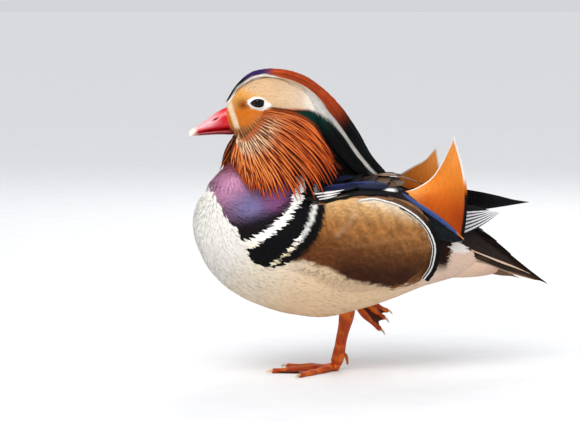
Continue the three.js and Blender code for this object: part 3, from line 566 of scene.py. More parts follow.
def head_colour(place):
    """The face, the pale stripe over the eye, and the crown and crest above them."""
    x, y = place[..., 0], place[..., 1]
    below, above = beside(STRIPE_EDGE, place), -beside(CROWN_EDGE, place)
    gold = smooth(y - 0.55 * (x - 240), 82, 93) * smooth(x, 276, 264)
    cheek = smooth(y, 106, 112) * smooth(x, 300, 262)
    chin = smooth(y, 124, 131) * smooth(x, 262, 250)
    turn = np.arctan2(y - 100, x - 232)
    ray = 0.5 + 0.5 * np.sin(74 * turn + 1.6 * ripple(place, 14, 12))
    rear = smooth(np.hypot(x - 238, (y - 106) * 0.9), 16, 27) * smooth(y, 110, 118)
    lore = smooth(np.abs(beside(LORE, place)), 3.2, 2.0) * smooth(y, 131, 126)
    under = layered(
        GREEN,
        (BLACK, smooth(x + y, 436, 470)),
        (ink(176, 74, 24), smooth(beside(RUFF_TOP, place), -1.5, 1.5)),
    )
    crown = layered(
        BLACK,
        (CROWN, smooth(x, 240, 248)),
        (ink(216, 84, 34), smooth(x, 264, 276)),
        (RUST, 0.7 * smooth(above, 9, 2) * smooth(x, 276, 290)),
        (BLACK, smooth(x + 0.9 * y, 430, 462)),
    )
    crown_edge = np.where(x < 276, 1.0, 0.0) * smooth(above, -2.6, -1.8)
    stripe_line = smooth(np.abs(below), 1.5, 0.5) * smooth(x, 266, 272) * smooth(x, 330, 300)
    nape = 1.5 - 1.1 * smooth(x, 334, 366)
    nape_line = smooth(np.abs(beside(NAPE_LINE, place)), nape + 0.4, nape - 0.4)
    pointed = 1 - 0.55 * smooth(x, 262, 271)
    ring = np.hypot((x - 259.6) / 12.0, (y - 103.9 - 0.14 * (x - 260)) / (6.5 * pointed))
    return layered(
        ink(214, 176, 134),
        (ink(212, 184, 154), smooth(x, 266, 300)),
        (ink(236, 172, 88), gold),
        # A dark brown-orange spot between eye and bill is painted shade under the brow.
        (ink(132, 58, 4), soft_spot(x, y, (243, 106), (9, 9))),
        (ink(206, 106, 24), 0.9 * cheek),
        (ink(190, 84, 26), smooth(x, 262, 272) * smooth(y, 107, 111)),
        (ink(150, 92, 50), 0.7 * chin),
        (ink(104, 42, 14), 0.75 * rear * smooth(ray, 0.55, 0.15)),
        (ink(250, 206, 150), 0.5 * rear * smooth(ray, 0.6, 0.95)),
        (ink(240, 214, 178), 0.95 * lore),
        (ink(242, 236, 226), smooth(x, 296, 318)),
        (under, smooth(below, -0.6, 0.8) * smooth(x, 268, 274)),
        (WHITE, 0.9 * crown_edge * smooth(x, 227, 232)),
        (ink(30, 12, 8), 0.8 * stripe_line),
        (crown, smooth(above, -0.8, 0.6)),
        (WHITE, 0.95 * nape_line * smooth(x, 322, 330)),
        (WHITE, smooth(ring, 1.06, 0.96)),
    )


BREAST_EDGE = [
    (203, 182), (210, 189), (216, 199.5), (222.5, 211.5), (228, 221), (237.7, 231),
    (242, 240.7), (246.4, 247.2), (250.7, 258), (255, 262.4), (266, 265.7), (276, 269),
]
BARS = [
    ([(301, 180), (299.5, 192), (296.5, 202), (287.6, 216), (276.8, 226.5), (266, 235),
      (247, 246)], 4.3),
    ([(316, 186), (315.3, 204), (311.5, 221), (304, 234), (294, 247), (283.3, 257), (272, 265)],
     2.5),
]
BREAST_REAR = [
    (324, 180), (325, 211.5), (322.9, 225.6), (316.9, 238.6), (307, 251), (296.3, 259),
    (280, 267),
]
FLANK_EDGE = [
    (280, 262), (300, 261), (317, 265.5), (334, 271), (346, 279), (364, 284), (392, 289),
    (412, 285), (426, 277), (434, 266),
]
TAIL_EDGE = [(437, 241), (452, 239), (462, 243), (470, 250), (527, 272), (560, 288)]


def breast_colour(p, place):
    """The purple breast with its two white bars, and how much of it shows at each point."""
    x, y = place[..., 0], place[..., 1]
    breast = layered(
        MAROON,
        # The mauve, violet and magenta spots over the maroon are painted sheen of the breast's
        # purple gloss.
        (MAUVE, soft_spot(x + 0.5 * (y - 178), y, (238, 180), (24, 26))),
        (VIOLET, 0.9 * soft_spot(x, y, (250, 206), (19, 14))),
        (MAGENTA, 0.85 * soft_spot(x, y, (275, 196), (12, 15))),
        (SOOT, 0.96 * smooth(y + 0.3 * (x - 250), 212, 227)),
        (BLACK, smooth(beside(BARS[0][0], place), 9, 3)),
    )
    for line, half in BARS:
        gap = np.abs(beside(line, place)) + 0.5 * ripple(p, 3.0, 4)
        half = half - 1.2 * smooth(y, 238, 262)
        tone = blend(WHITE, ink(226, 212, 176), smooth(y, 236, 256))
        breast = blend(breast, tone, smooth(gap, half + 0.5, half - 0.5))
    ragged = beside(BREAST_EDGE, place) + 1.3 * ripple(p, 6, 3) + 0.8 * ripple(p, 2.6, 8)
    share = smooth(ragged, 0.6, -0.6) * smooth(beside(BREAST_REAR, place), -0.6, 0.6)
    return breast, share


def belly_colour(place):
    x, y = place[..., 0], place[..., 1]
    return layered(
        ink(226, 222, 214),
        (ink(226, 212, 190), smooth(x + 0.9 * (y - 240), 236, 290)),
        (SAND, smooth(x + 0.9 * (y - 250), 272, 350)),
        (ink(222, 192, 170), smooth(x, 370, 440)),
    )


def trunk_colour(p, place):
    """The breast, the white belly, the dark back and the pale vent."""
    x, y = place[..., 0], place[..., 1]
    flank = beside(FLANK_EDGE, place) + 1.5 * ripple(p, 6, 6)
    front = smooth(x, 283, 298) * smooth(x, 436, 428)
    breast, share = breast_colour(p, place)
    rear = smooth(x, 430, 437)
    maroon = smooth(x + 0.25 * (y - 250), 455, 449) * smooth(y, 274, 262)
    fluff = smooth(np.hypot((x - 461) / 11, (y - 247) / 7), 1.1, 0.7)
    back = smooth(p[..., 2], 110, 120) * smooth(p[..., 0], -34, -20) * smooth(x, 438, 432)
    neck = smooth(p[..., 2], 156, 168) * smooth(p[..., 0], 0, -20)
    return layered(
        belly_colour(place),
        (ink(112, 70, 36), smooth(flank, 1.5, -2.5) * front),
        (breast, share),
        (ink(36, 14, 9), rear * maroon),
        (WHITE, rear * fluff * 0.8),
        (DARK_BROWN, rear * smooth(beside(TAIL_EDGE, place), 0.8, -0.8)),
        (blend(BLACK, DARK_BROWN, smooth(p[..., 0], 14, 40)), back),
        (blend(DARK_RUST, ink(190, 104, 46), smooth(p[..., 2], 168, 186)), 0.9 * neck),
    )


def plumage(p):
    place = marking_place(p)
    trunk = trunk_colour(p, place)
    head = head_colour(place)
    return blend(trunk, head, smooth(turned(p, -1)[..., 2], 176, 184))


# Materials


def shader(name, roughness, **values):
    """A material with its principled shader, and the plain values set on its sockets."""
    made = bpy.data.materials.new(name)
    made.use_nodes = True
    tree = made.node_tree
    surface = tree.nodes["Principled BSDF"]
    surface.inputs["Roughness"].default_value = roughness
    for key, value in values.items():
        surface.inputs[key.replace("_", " ")].default_value = value
    return made, tree, surface


def node(tree, kind, inputs=None, **settings):
    made = tree.nodes.new(kind)
    for key, value in settings.items():
        setattr(made, key, value)
    for key, value in (inputs or {}).items():
        socket = made.inputs[key]
        if isinstance(value, bpy.types.NodeSocket):
            tree.links.new(value, socket)
        else:
            socket.default_value = value
    return made


def math_node(tree, operation, *values):
    return node(tree, "ShaderNodeMath", dict(enumerate(values)), operation=operation).outputs[0]


def mix_colour(tree, mode, share, a, b):
    made = node(tree, "ShaderNodeMix", data_type="RGBA", blend_type=mode)
    for socket, value in zip((made.inputs[0], made.inputs[6], made.inputs[7]), (share, a, b)):
        if isinstance(value, bpy.types.NodeSocket):
            tree.links.new(value, socket)
        else:
            socket.default_value = value
    return made.outputs[2]


def feather_material(name, roughness=0.62, sheen=0.0, barbs=0.3, pitch=0.7, relief=0.5,
                     slant=1.2, mottle=0.25, **values):
    """Feathers: the painted colour, with barbs that slant from the shaft, and mottling.

    pitch is the spacing of the barbs in millimetres.
    """
    values.setdefault("Specular_IOR_Level", 0.1)
    made, tree, surface = shader(name, roughness, Sheen_Weight=sheen, Sheen_Roughness=0.4,
                                 **values)
    colour = node(tree, "ShaderNodeAttribute", attribute_name="Col").outputs["Color"]
    barb = node(tree, "ShaderNodeUVMap", uv_map="Barb").outputs[0]
    parts = node(tree, "ShaderNodeSeparateXYZ", {0: barb}).outputs
    ground = node(tree, "ShaderNodeTexCoord").outputs["Object"]
    noise = node(tree, "ShaderNodeTexNoise", {"Vector": ground, "Scale": 900.0, "Detail": 3.0})
    waver = math_node(tree, "MULTIPLY", noise.outputs[0], 0.09)
    out = math_node(tree, "ABSOLUTE", parts[0])
    run = math_node(tree, "MULTIPLY_ADD", out, -slant, parts[1])
    run = math_node(tree, "ADD", run, waver)
    wave = math_node(tree, "SINE", math_node(tree, "MULTIPLY", run, 2 * math.pi * 10 / pitch))
    shade = math_node(tree, "MULTIPLY_ADD", wave, 0.5 * barbs, 1 - 0.5 * barbs)
    blotch = node(tree, "ShaderNodeTexNoise", {"Vector": ground, "Scale": 260.0, "Detail": 4.0})
    patch = math_node(tree, "MULTIPLY_ADD", blotch.outputs[0], 2 * mottle, 1 - mottle)
    both = math_node(tree, "MULTIPLY", shade, patch)
    tint = node(tree, "ShaderNodeCombineXYZ", {0: both, 1: both, 2: both}).outputs[0]
    final = mix_colour(tree, "MULTIPLY", 1.0, colour, tint)
    tree.links.new(final, surface.inputs["Base Color"])
    bump = node(tree, "ShaderNodeBump", {"Height": wave, "Strength": relief, "Distance": 0.00012})
    tree.links.new(bump.outputs[0], surface.inputs["Normal"])
    return made


def flesh_material(name, roughness, scale, relief, variation, **values):
    """Horn and scaled skin: the painted colour with cells, blotches and fine bumps."""
    made, tree, surface = shader(name, roughness, **values)
    colour = node(tree, "ShaderNodeAttribute", attribute_name="Col").outputs["Color"]
    ground = node(tree, "ShaderNodeTexCoord").outputs["Object"]
    cells = node(tree, "ShaderNodeTexVoronoi", {"Vector": ground, "Scale": scale},
                 feature="DISTANCE_TO_EDGE")
    edge = node(tree, "ShaderNodeMapRange", {0: cells.outputs[0], 1: 0.0, 2: 0.22})
    noise = node(tree, "ShaderNodeTexNoise", {"Vector": ground, "Scale": scale * 0.35,
                                              "Detail": 5.0})
    depth = math_node(tree, "MULTIPLY_ADD", edge.outputs[0], variation, 1 - variation)
    blotch = math_node(tree, "MULTIPLY_ADD", noise.outputs[0], 0.7, 0.65)
    both = math_node(tree, "MULTIPLY", depth, blotch)
    tint = node(tree, "ShaderNodeCombineXYZ", {0: both, 1: both, 2: both}).outputs[0]
    final = mix_colour(tree, "MULTIPLY", 1.0, colour, tint)
    tree.links.new(final, surface.inputs["Base Color"])
    height = math_node(tree, "MULTIPLY_ADD", noise.outputs[0], 0.5, edge.outputs[0])
    bump = node(tree, "ShaderNodeBump", {"Height": height, "Strength": relief,
                                         "Distance": 0.0003})
    tree.links.new(bump.outputs[0], surface.inputs["Normal"])
    return made


# Skin of trunk, neck and head in one

SKIN_INSET = -1.2


def closed_grid(points, start=0):
    rows, cols = points.shape[:2]
    return grid_faces(rows, cols, wrap=True, start=start)


def make_skin():
    parts = [
        torso_whole(96, 90, SKIN_INSET),
        turned(neck_whole(72, 40, SKIN_INSET)),
        turned(head_whole(72, 48, SKIN_INSET)),
    ]
    points, faces, count = [], [], 0
    for part in parts:
        faces.append(closed_grid(part, count))
        points.append(part.reshape(-1, 3))
        count += len(points[-1])
    raw = bpy.data.meshes.new("skin_raw")
    raw.from_pydata((np.concatenate(points) * MM).tolist(), [], np.concatenate(faces).tolist())
    rough = bpy.data.objects.new("skin_raw", raw)
    bpy.context.scene.collection.objects.link(rough)
    weld = rough.modifiers.new("weld", "WELD")
    weld.merge_threshold = 1e-5
    remesh = rough.modifiers.new("remesh", "REMESH")
    remesh.mode = "VOXEL"
    remesh.voxel_size = 1.7 * MM
    soften = rough.modifiers.new("soften", "CORRECTIVE_SMOOTH")
    soften.smooth_type = "SIMPLE"
    soften.iterations = 12
    soften.use_only_smooth = True
    depsgraph = bpy.context.evaluated_depsgraph_get()
    mesh = bpy.data.meshes.new_from_object(rough.evaluated_get(depsgraph))
    mesh.name = "skin"
    bpy.data.objects.remove(rough)
    bpy.data.meshes.remove(raw)
    return mesh


class Surface:
    """The skin's points, triangles and normals as arrays, to sow feathers on."""

    def __init__(self, mesh):
        self.points = np.empty(len(mesh.vertices) * 3, np.float32)
        mesh.vertices.foreach_get("co", self.points)
        self.points = self.points.reshape(-1, 3).astype(float) / MM
        self.normals = np.empty(len(mesh.vertices) * 3, np.float32)
        mesh.vertices.foreach_get("normal", self.normals)
        self.normals = self.normals.reshape(-1, 3).astype(float)
        mesh.calc_loop_triangles()
        tris = np.empty(len(mesh.loop_triangles) * 3, np.int32)
        mesh.loop_triangles.foreach_get("vertices", tris)
        self.tris = tris.reshape(-1, 3)

    def sow(self, spacing, keep, seed, crowd=4.0):
        """Roots spread over the skin, about spacing(p) apart, where keep(p) holds."""
        rng = np.random.default_rng(seed)
        a, b, c = (self.points[self.tris[:, k]] for k in range(3))
        area = np.linalg.norm(np.cross(b - a, c - a), axis=1) / 2
        centre = (a + b + c) / 3
        gap = spacing(centre)
        weight = np.where(keep(centre), area / gap**2, 0)
        count = int(crowd * weight.sum())
        pick = rng.choice(len(area), count, p=weight / weight.sum())
        r1, r2 = np.sqrt(rng.random(count)), rng.random(count)
        w = np.stack([1 - r1, r1 * (1 - r2), r1 * r2], -1)[..., None]
        corners = self.tris[pick]
        roots = (self.points[corners] * w).sum(1)
        normals = unit((self.normals[corners] * w).sum(1))
        gap = spacing(roots)
        tree = kdtree.KDTree(count)
        for i, p in enumerate(roots):
            tree.insert(p, i)
        tree.balance()
        dropped = np.zeros(count, bool)
        kept = []
        for i in range(count):
            if dropped[i]:
                continue
            kept.append(i)
            for _, j, _ in tree.find_range(roots[i], gap[i]):
                dropped[j] = True
        return roots[kept], normals[kept]


def lie(p, normals):
    """The way the coat lies: back along trunk and head, down on the breast and neck."""
    q = turned(p, -1)
    x, z = q[:, 0], q[:, 2]
    breast = smooth(x, -66, -112) * smooth(z, 70, 120)
    neck = smooth(z, 146, 160) * smooth(z, 196, 180)
    down = np.clip(breast + neck, 0, 1)
    way = np.stack([1 - 0.55 * down, 0 * x, -0.12 - 1.1 * down], -1)
    face = smooth(z, 180, 196)
    cheek = smooth(z, 214, 196) * smooth(x, -62, -80)
    head = np.stack([1 + 0 * x, 0 * x, 0.25 * smooth(x, -60, -86) - 0.9 * cheek - 0.2], -1)
    way = blend(way, head, face)
    way = way - normals * (way * normals).sum(1, keepdims=True)
    return unit(way)


def tufts(bunch, roots, normals, length, width, thick, rise, bend, rng, swing, sink,
          per_point=False, jitter=0.3):
    """Small feathers that lie along the coat; bend is how fast the body curves away."""
    n = len(roots)
    way = lie(roots, normals)
    across = np.cross(normals, way)
    way = unit(way + across * (swing * rng.normal(size=n))[:, None])
    length = length * rng.uniform(0.8, 1.2, n)
    width = width * rng.uniform(0.85, 1.15, n)
    t = np.linspace(0, 1, 3)
    run = length[:, None] * t
    height = rise * rng.uniform(0.7, 1.3, n)[:, None] * np.sin(t * 1.75)
    lift = -sink + height - bend * run**2 / 2
    path = roots[:, None] + way[:, None] * run[..., None] + normals[:, None] * lift[..., None]
    shape = np.interp(t, [0, 0.45, 1], [0.6, 1, 0.16])
    if per_point:
        def colour(points, across, along):
            return plumage(points) * shade[:, None, None, None]
    else:
        middle = roots + way * (0.6 * length)[:, None]
        colour = plumage(middle + rng.normal(size=(n, 3)) * jitter)
    shade = rng.uniform(0.95, 1.04, n)
    if not per_point:
        colour = colour * shade[:, None]
    bunch.add(path, normals, width[:, None] * shape, thick * np.array([1, 1, 0.4]), colour,
              bow=0.02, soft=0.75)


def covered(q):
    """Skin that flank and wing feathers hide well inside their edges."""
    degrees = np.degrees(np.arctan2(np.abs(q[:, 1]), q[:, 2] - TRUNK_AXIS_Z))
    wing = (q[:, 0] > -8) & (q[:, 0] < 60) & (degrees > 24) & (q[:, 2] < 160)
    return wing & (beside(FLANK_EDGE, marking_place(q)) < -10)


def near_eye(q, size):
    return np.hypot((q[:, 0] - EYE_X) / 1.35, q[:, 2] - EYE_Z) < size


# The coats of trunk and head overlap between these heights
HEAD_COAT_FLOOR, BODY_COAT_TOP = 178, 181


def make_coat(surface, materials):
    def body(side):
        def keep(p):
            q = turned(p, -1)
            return (q[:, 2] < BODY_COAT_TOP) & ~covered(q) & (p[:, 1] * side >= 0)
        return keep

    def head(side):
        def keep(p):
            q = turned(p, -1)
            bill = (q[:, 0] < -84) & (np.abs(q[:, 1]) < 7.5) & (q[:, 2] < 212)
            face = (q[:, 2] > HEAD_COAT_FLOOR) & ~near_eye(q, 5.4)
            return face & ~bill & (q[:, 1] * side >= 0)
        return keep

    def body_gap(p):
        hidden = smooth(p[:, 2], 158, 168) * smooth(p[:, 0], -92, -80)
        return lerp(1.6, 3.0, hidden)

    def head_gap(p):
        q = turned(p, -1)
        crown = smooth(q[:, 2], 224, 232) * smooth(q[:, 0], -60, -46)
        nape = smooth(q[:, 0], -26, -14)
        return lerp(1.0, 2.2, np.maximum(crown, nape))

    for word, side in SIDES.items():
        rng = np.random.default_rng(40 + side)
        bunch = Bunch()
        roots, normals = surface.sow(body_gap, body(side), 7 + side)
        tufts(bunch, roots, normals, 6.4, 2.4, 0.16, 0.5, 1 / 110, rng, swing=0.07, sink=0.05)
        piece = bunch.piece(f"coat_{word}", materials["coat"])
        bunch = Bunch()
        roots, normals = surface.sow(head_gap, head(side), 17 + side)
        tufts(bunch, roots, normals, 3.8, 1.3, 0.12, 0.3, 1 / 44, rng, swing=0.06, sink=0.02,
              per_point=True)
        piece = bunch.piece(f"face_{word}", materials["face"])


# Ruff, crest, and the feathers of wing, flank and tail


def plume_shape(t, root=0.5, tip=0.06):
    return np.where(t < 0.45, lerp(root, 1, t / 0.45),
                    lerp(1, tip, (np.clip(t - 0.45, 0, 1) / 0.55) ** 1.4))


def vane_shape(t, root=0.6, tip=0.1):
    """A broad feather with a rounded end."""
    body = lerp(root, 1, np.clip(t / 0.55, 0, 1))
    end = np.sqrt(np.maximum(1 - (np.clip(t - 0.62, 0, 1) / 0.38) ** 2.2, 0))
    return body * lerp(tip, 1, end)


def make_ruff(side, word, materials):
    rng = np.random.default_rng(60 + side)
    guides = np.array(RUFF_GUIDES, float)
    bunch = Bunch()
    # Plumes in each layer, their reach, how far out they lie, and their width
    layers = [
        (40, 1.0, -1.8, 3.9), (36, 0.98, -0.4, 3.7), (30, 0.9, 0.9, 3.5),
        (30, 0.74, 1.8, 3.0), (34, 0.56, 2.4, 2.4), (40, 0.4, 2.6, 1.9), (44, 0.26, 2.5, 1.5),
    ]
    rings = 15
    t = np.linspace(0, 1, rings)
    for level, (count, reach, out, wide) in enumerate(layers):
        share = np.clip((np.arange(count) + rng.uniform(-0.4, 0.4, count)) / (count - 1), 0, 1)
        place = share * (len(guides) - 1)
        i = np.minimum(place.astype(int), len(guides) - 2)
        key = lerp(guides[i], guides[i + 1], (place - i)[:, None, None])
        length = reach * rng.uniform(0.88, 1.03, count)
        s = lerp(0.02, 1, t)[None] * length[:, None]
        a, b, c = ((1 - s) ** 2, 2 * s * (1 - s), s**2)
        path = sum(w[..., None] * key[:, None, k] for k, w in enumerate((a, b, c)))
        path[..., 0] += 1.3 * np.sin(t * 5.5 + rng.uniform(0, 6.28, (count, 1))) * t
        high = out * np.sin(np.pi * np.clip(t, 0, 0.9)) ** 0.5
        path[..., 1] += high + rng.uniform(-1.0, 1.0, (count, 1)) * t
        path[..., 1] *= side
        up = np.array([0.1, side, 0.25]) + rng.normal(size=(count, 3)) * (0.12, 0, 0.12)
        tone = rng.uniform(0, 1, (count, 1, 1))

        def colour(points, across, along):
            far = along * reach
            fore = smooth(share_of, 0.75, 0.35)
            base = blend(ink(240, 98, 10), ink(196, 58, 8), tone * np.ones_like(along))
            base = blend(base, ink(184, 74, 30), 0.7 * (1 - fore) * smooth(far, 0.6, 0.2))
            # A pale streak along each plume's middle, partly its pale shaft and partly a painted
            # highlight, brightest on the front plumes.
            shaft_streak_and_highlight = smooth(np.abs(across), 0.42, 0.05) * smooth(along, 0.98, 0.7)
            shaft_streak_and_highlight = shaft_streak_and_highlight * lerp(0.45, 1, fore) * (0.7 + 0.3 * tone)
            base = blend(base, ink(255, 186, 98), shaft_streak_and_highlight)
            pale = smooth(far, 0.4, 0.12) * smooth(np.abs(across), 0.6, 0.2) * fore
            base = blend(base, ink(250, 226, 188), 0.9 * pale)
            # The plume's edges turn dark brown: partly their own dark edge and partly painted shade
            # in the gaps between plumes.
            edge = smooth(np.abs(across), 0.34, 0.8)
            made = blend(base, ink(52, 10, 5), edge)
            striped = smooth(far, 0.34, 0.12) * smooth(share_of, 0.98, 0.7) * (level > 2)
            stripe = np.where(np.arange(count)[:, None, None] % 2 == 0, 1.0, 0.0)
            made = blend(made, ink(252, 214, 164), 0.75 * striped * stripe * (1 - edge))
            made = blend(made, ink(84, 30, 12), 0.75 * striped * (1 - stripe))
            cheek = smooth(far, 0.1, 0.02) * smooth(share_of, 0.1, 0.3)
            return blend(made, ink(190, 88, 24), 0.85 * cheek)

        share_of = share[:, None, None]
        width = wide * plume_shape(t, 0.42, 0.08) * rng.uniform(0.8, 1.15, (count, 1))
        bunch.add(turned(path), unit(up), width, 1.0 * plume_shape(t, 0.6, 0.2), colour, cols=7,
                  bow=0.26)
    piece = bunch.piece(f"ruff_plumes_{word}", materials["ruff"])
    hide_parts(f"ruff_{word}")


def crest_spread(s):
    """How far the crest reaches down each side, in degrees: it starts narrow on the crown."""
    return lerp(lerp(34, 62, smooth(s, 0.2, 0.4)), 88, smooth(s, 0.48, 0.66))


def make_crest(materials):
    rng = np.random.default_rng(71)
    bunch = Bunch()
    rings = 12
    t = np.linspace(0, 1, rings)[None]
    # Locks in each row, where they start, their length and their width
    rows = [
        (420, 0.0, 0.4, 0.24, 1.1), (640, 0.2, 0.72, 0.34, 1.4), (680, 0.42, 0.82, 0.4, 1.6),
    ]
    for count, first, last, length, wide in rows:
        start = rng.uniform(first, last, count)[:, None]
        reach = np.minimum(length * rng.uniform(0.8, 1.15, (count, 1)), 1.03 - start)
        turn = rng.uniform(-1, 1, (count, 1)) * crest_spread(start + 0.4 * reach)
        reach = reach * (1 - 0.12 * np.abs(turn) / 90)
        s = start + reach * t
        rim = smooth(np.abs(turn) / crest_spread(s), 0.4, 1) * smooth(s, 0.66, 0.5)
        off = lerp(-0.6, 0.5, t) + rng.uniform(-0.4, 0.5, (count, 1)) * t - 3.4 * rim
        path = on_crest(s, turn * (1 - 0.1 * t) * np.ones_like(s), off)
        centre = on_crest(s, 0 * s, -crest_depth(np.clip(s, 0, 1)))
        up = unit(path - centre)
        tone = rng.uniform(0.5, 1.25, (count, 1, 1, 1))

        def colour(points, across, along):
            shade = head_colour(marking_place(points))
            strong = np.clip(tone, 0.5, 1 + 0.25 * (shade.max(-1, keepdims=True) < 0.6))
            return shade * np.where(shade.min(-1, keepdims=True) > 0.3, 0.5 + 0.5 * strong, strong)

        bunch.add(turned(path), up, wide * plume_shape(t, 0.5, 0.12), 0.4, colour, soft=0.5)
    piece = bunch.piece("crest_locks", materials["crest"])
    core_u = np.linspace(0, math.pi, 50)[:, None]
    s = 0.97 * (1 - np.cos(core_u)) / 2
    angle = np.linspace(-180, 180, 48, endpoint=False)[None]
    low = smooth(np.abs(angle), 40, 90)
    inset = lerp(-2.6 - 3.4 * low, -1.0, smooth(s, 0.45, 0.68))
    centre = on_crest(s, 0 * angle, -crest_depth(s))
    rim = on_crest(s, angle, inset)
    q = lerp(centre, rim, (np.maximum(np.sin(core_u), 0) ** 0.3)[..., None])
    q = turned(q)
    points = q.reshape(-1, 3)
    shade = head_colour(marking_place(points))
    # The bed under the locks is painted darker, down to 0.6 of the head colour where that is dark,
    # as shade beneath the crest.
    shade = shade * lerp(0.6, 0.96, smooth(shade.min(-1, keepdims=True), 0.15, 0.35))
    core = new_piece("crest_bed", points, [closed_grid(q)], materials["skin"], shade,
                     {"OFBake": unwrap(points), "Barb": points[:, [0, 2]] * 0.1})
    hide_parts("crest")


def trunk_vanes(bunch, side, root, tip, wide, colour, thick=0.8, rings=16, cols=9, bow=0.05,
                shape=vane_shape, lift=1.0, curl=0.0, soft=0.3, height=None):
    """Feathers on the trunk, from roots to tips given as rows of x, degrees and height.

    `height` is the surface that they lie on, over degrees, for vanes that tilt with it.
    """
    root, tip = np.atleast_2d(np.array(root, float)), np.atleast_2d(np.array(tip, float))
    t = np.linspace(0, 1, rings)[None]
    x = lerp(root[:, :1], tip[:, :1], t)
    degrees = lerp(root[:, 1:2], tip[:, 1:2], t)
    off = lerp(root[:, 2:], tip[:, 2:], t**lift) - curl * t**4
    path = on_trunk(side, x, degrees, off)
    inner = on_trunk(side, x, degrees, off - 3)
    up = unit(path - inner)
    if height is not None:
        rise = height(degrees + 1) - height(degrees)
        beneath = on_trunk(side, x, degrees + 1, off + rise)
        facing = unit(np.cross(np.gradient(path, axis=1), beneath - path))
        up = facing * np.sign((facing * up).sum(-1, keepdims=True))
    wide = np.asarray(wide, float).reshape(-1, 1) if np.ndim(wide) else wide
    bunch.add(path, up, wide * shape(t), thick * lerp(1, 0.6, t), colour, cols=cols, bow=bow,
              patch=0.008, soft=soft)


def edged(base, rim, shaft=None, width=0.16):
    """A feather's colour with a rim along its edge and a shaft."""
    def colour(points, across, along):
        out = np.maximum(np.abs(across), smooth(along, 0.86, 1.0))
        made = np.broadcast_to(base, points.shape)
        made = blend(made, rim, smooth(out, 1 - width * 1.6, 1 - width * 0.6))
        if shaft is not None:
            made = blend(made, shaft, smooth(np.abs(across), 0.12, 0.04))
        return made
    return colour


flank_height = profile([(40, 8.6), (56, 9), (84, 4.6), (128, 2.8)])


def flank_end(degrees):
    return 70 - 50 * ((degrees - 90) / 52) ** 2


FLANK_RIM = [
    (335, 201), (359.7, 200.5), (373.5, 198.8), (385, 201.3), (396.4, 204.6), (408.3, 210.8),
    (419.4, 219), (427.4, 228.2), (433.2, 240), (435, 249), (433.5, 260.6), (430.9, 269),
    (424, 279),
]
FLANK_FOLD = [(357, 199), (358, 212), (352, 224), (340, 236)]


def flank_colour(points, across, along):
    """Gold with fine wavy lines, paler above and chestnut below."""
    place = marking_place(points)
    x, y = place[..., 0], place[..., 1]
    low = y - 0.1 * (x - 380)
    base = layered(
        ink(214, 166, 108),
        (ink(166, 110, 58), smooth(low, 206, 230)),
        (ink(108, 64, 30), smooth(low, 228, 256)),
        (ink(62, 31, 14), smooth(low, 248, 276)),
        (ink(240, 212, 176), 0.85 * smooth(y - 0.35 * (x - 372), 212, 200) * smooth(x, 352, 362)),
        (ink(112, 62, 28), 0.6 * smooth(x, 345, 326) * smooth(y, 222, 246)),
    )
    gleam = ripple(np.stack([0.02 * x - 0.03 * y, 0.006 * x + 0.006 * y], -1), 0.26, 5)
    # Beside the fold line a pale band is a painted highlight, and a darker band on its other side is
    # painted shade.
    fold = beside(FLANK_FOLD, place)
    base = layered(
        base * (1 + 0.14 * gleam)[..., None],
        (ink(236, 206, 168), 0.17 * smooth(np.abs(fold - 2.0), 4.6, 0.2)),
        (ink(120, 74, 36), 0.3 * smooth(np.abs(fold + 1.6), 3.0, 0.2)),
    )
    across_wave = place @ np.array([0.34, 0.94]) + 2.4 * ripple(place, 60, 21)
    fine = np.sin(3.0 * across_wave + 0.9 * ripple(place, 9, 22))
    streak = smooth(ripple(place @ np.array([[0.05, 0.0], [0.28, 0.0]]), 3.2, 23), 0.7, 1.5)
    lip = smooth(np.abs(beside(FLANK_RIM, place) - 1), 2.2, 1.0) * smooth(x, 356, 362)
    belly = smooth(beside(FLANK_EDGE, place) + 1.5 * ripple(points, 6, 6), -2.5, 1.5)
    breast, _ = breast_colour(points, place)
    return layered(
        base * (1 + 0.22 * fine)[..., None],
        (ink(232, 192, 140), 0.3 * streak * smooth(low, 262, 236)),
        (ink(240, 228, 208), 0.85 * lip),
        (belly_colour(place), belly * smooth(x, 434, 424)),
        (breast, smooth(beside(BREAST_REAR, place), -0.6, 0.6)),
    )


def rim_path(shift, count=90):
    """The hind rim of the flank as rows of x, degrees and height, `shift` pixels inside it."""
    spots = spline(FLANK_RIM[1:], np.linspace(0, 1, count))
    ahead = unit(np.gradient(spots, axis=0))
    spots = spots + shift * np.stack([-ahead[:, 1], ahead[:, 0]], -1)
    found = locate(spots, 8.0)
    return locate(spots, flank_height(found[:, 1]) + 0.5)


def make_rim(bunch, side):
    """The flank's black and white hind rim, made of short narrow feathers end over end."""
    segments = 16
    bands = (
        (-3.2, 4.4, 0.0, BLACK, 0.24), (-1.5, 3.2, 0.0, BLACK, 0.2), (0.1, 1.6, 0.45, WHITE, 0.0),
        (1.6, 1.2, 0.5, BLACK, 0.3), (2.6, 0.6, 0.55, WHITE, 0.34),
    )
    t = np.linspace(0, 1, 14)
    for shift, wide, lift, shade, start in bands:
        rows = rim_path(shift)
        place = np.linspace(0, 1, len(rows))
        for k in range(segments):
            first = lerp(start, 1, k / segments)
            reach = (1 - start) / segments * 1.9
            along = np.clip(first + reach * t, 0, 1.0)
            x, degrees, off = (np.interp(along, place, rows[:, j]) for j in range(3))
            path = on_trunk(side, x, degrees, off + lift + 0.25 * t)
            up = unit(path - on_trunk(side, x, degrees, off - 3))
            brown = smooth(first, 0.5, 0.3) if shade is BLACK and shift < 0 else 0.0
            colour = blend(shade, ink(92, 64, 42), brown)[None]
            bunch.lay(path, up, wide * plume_shape(t, 0.7, 0.3), 0.35, colour, cols=5, bow=0.04,
                      soft=0.6)


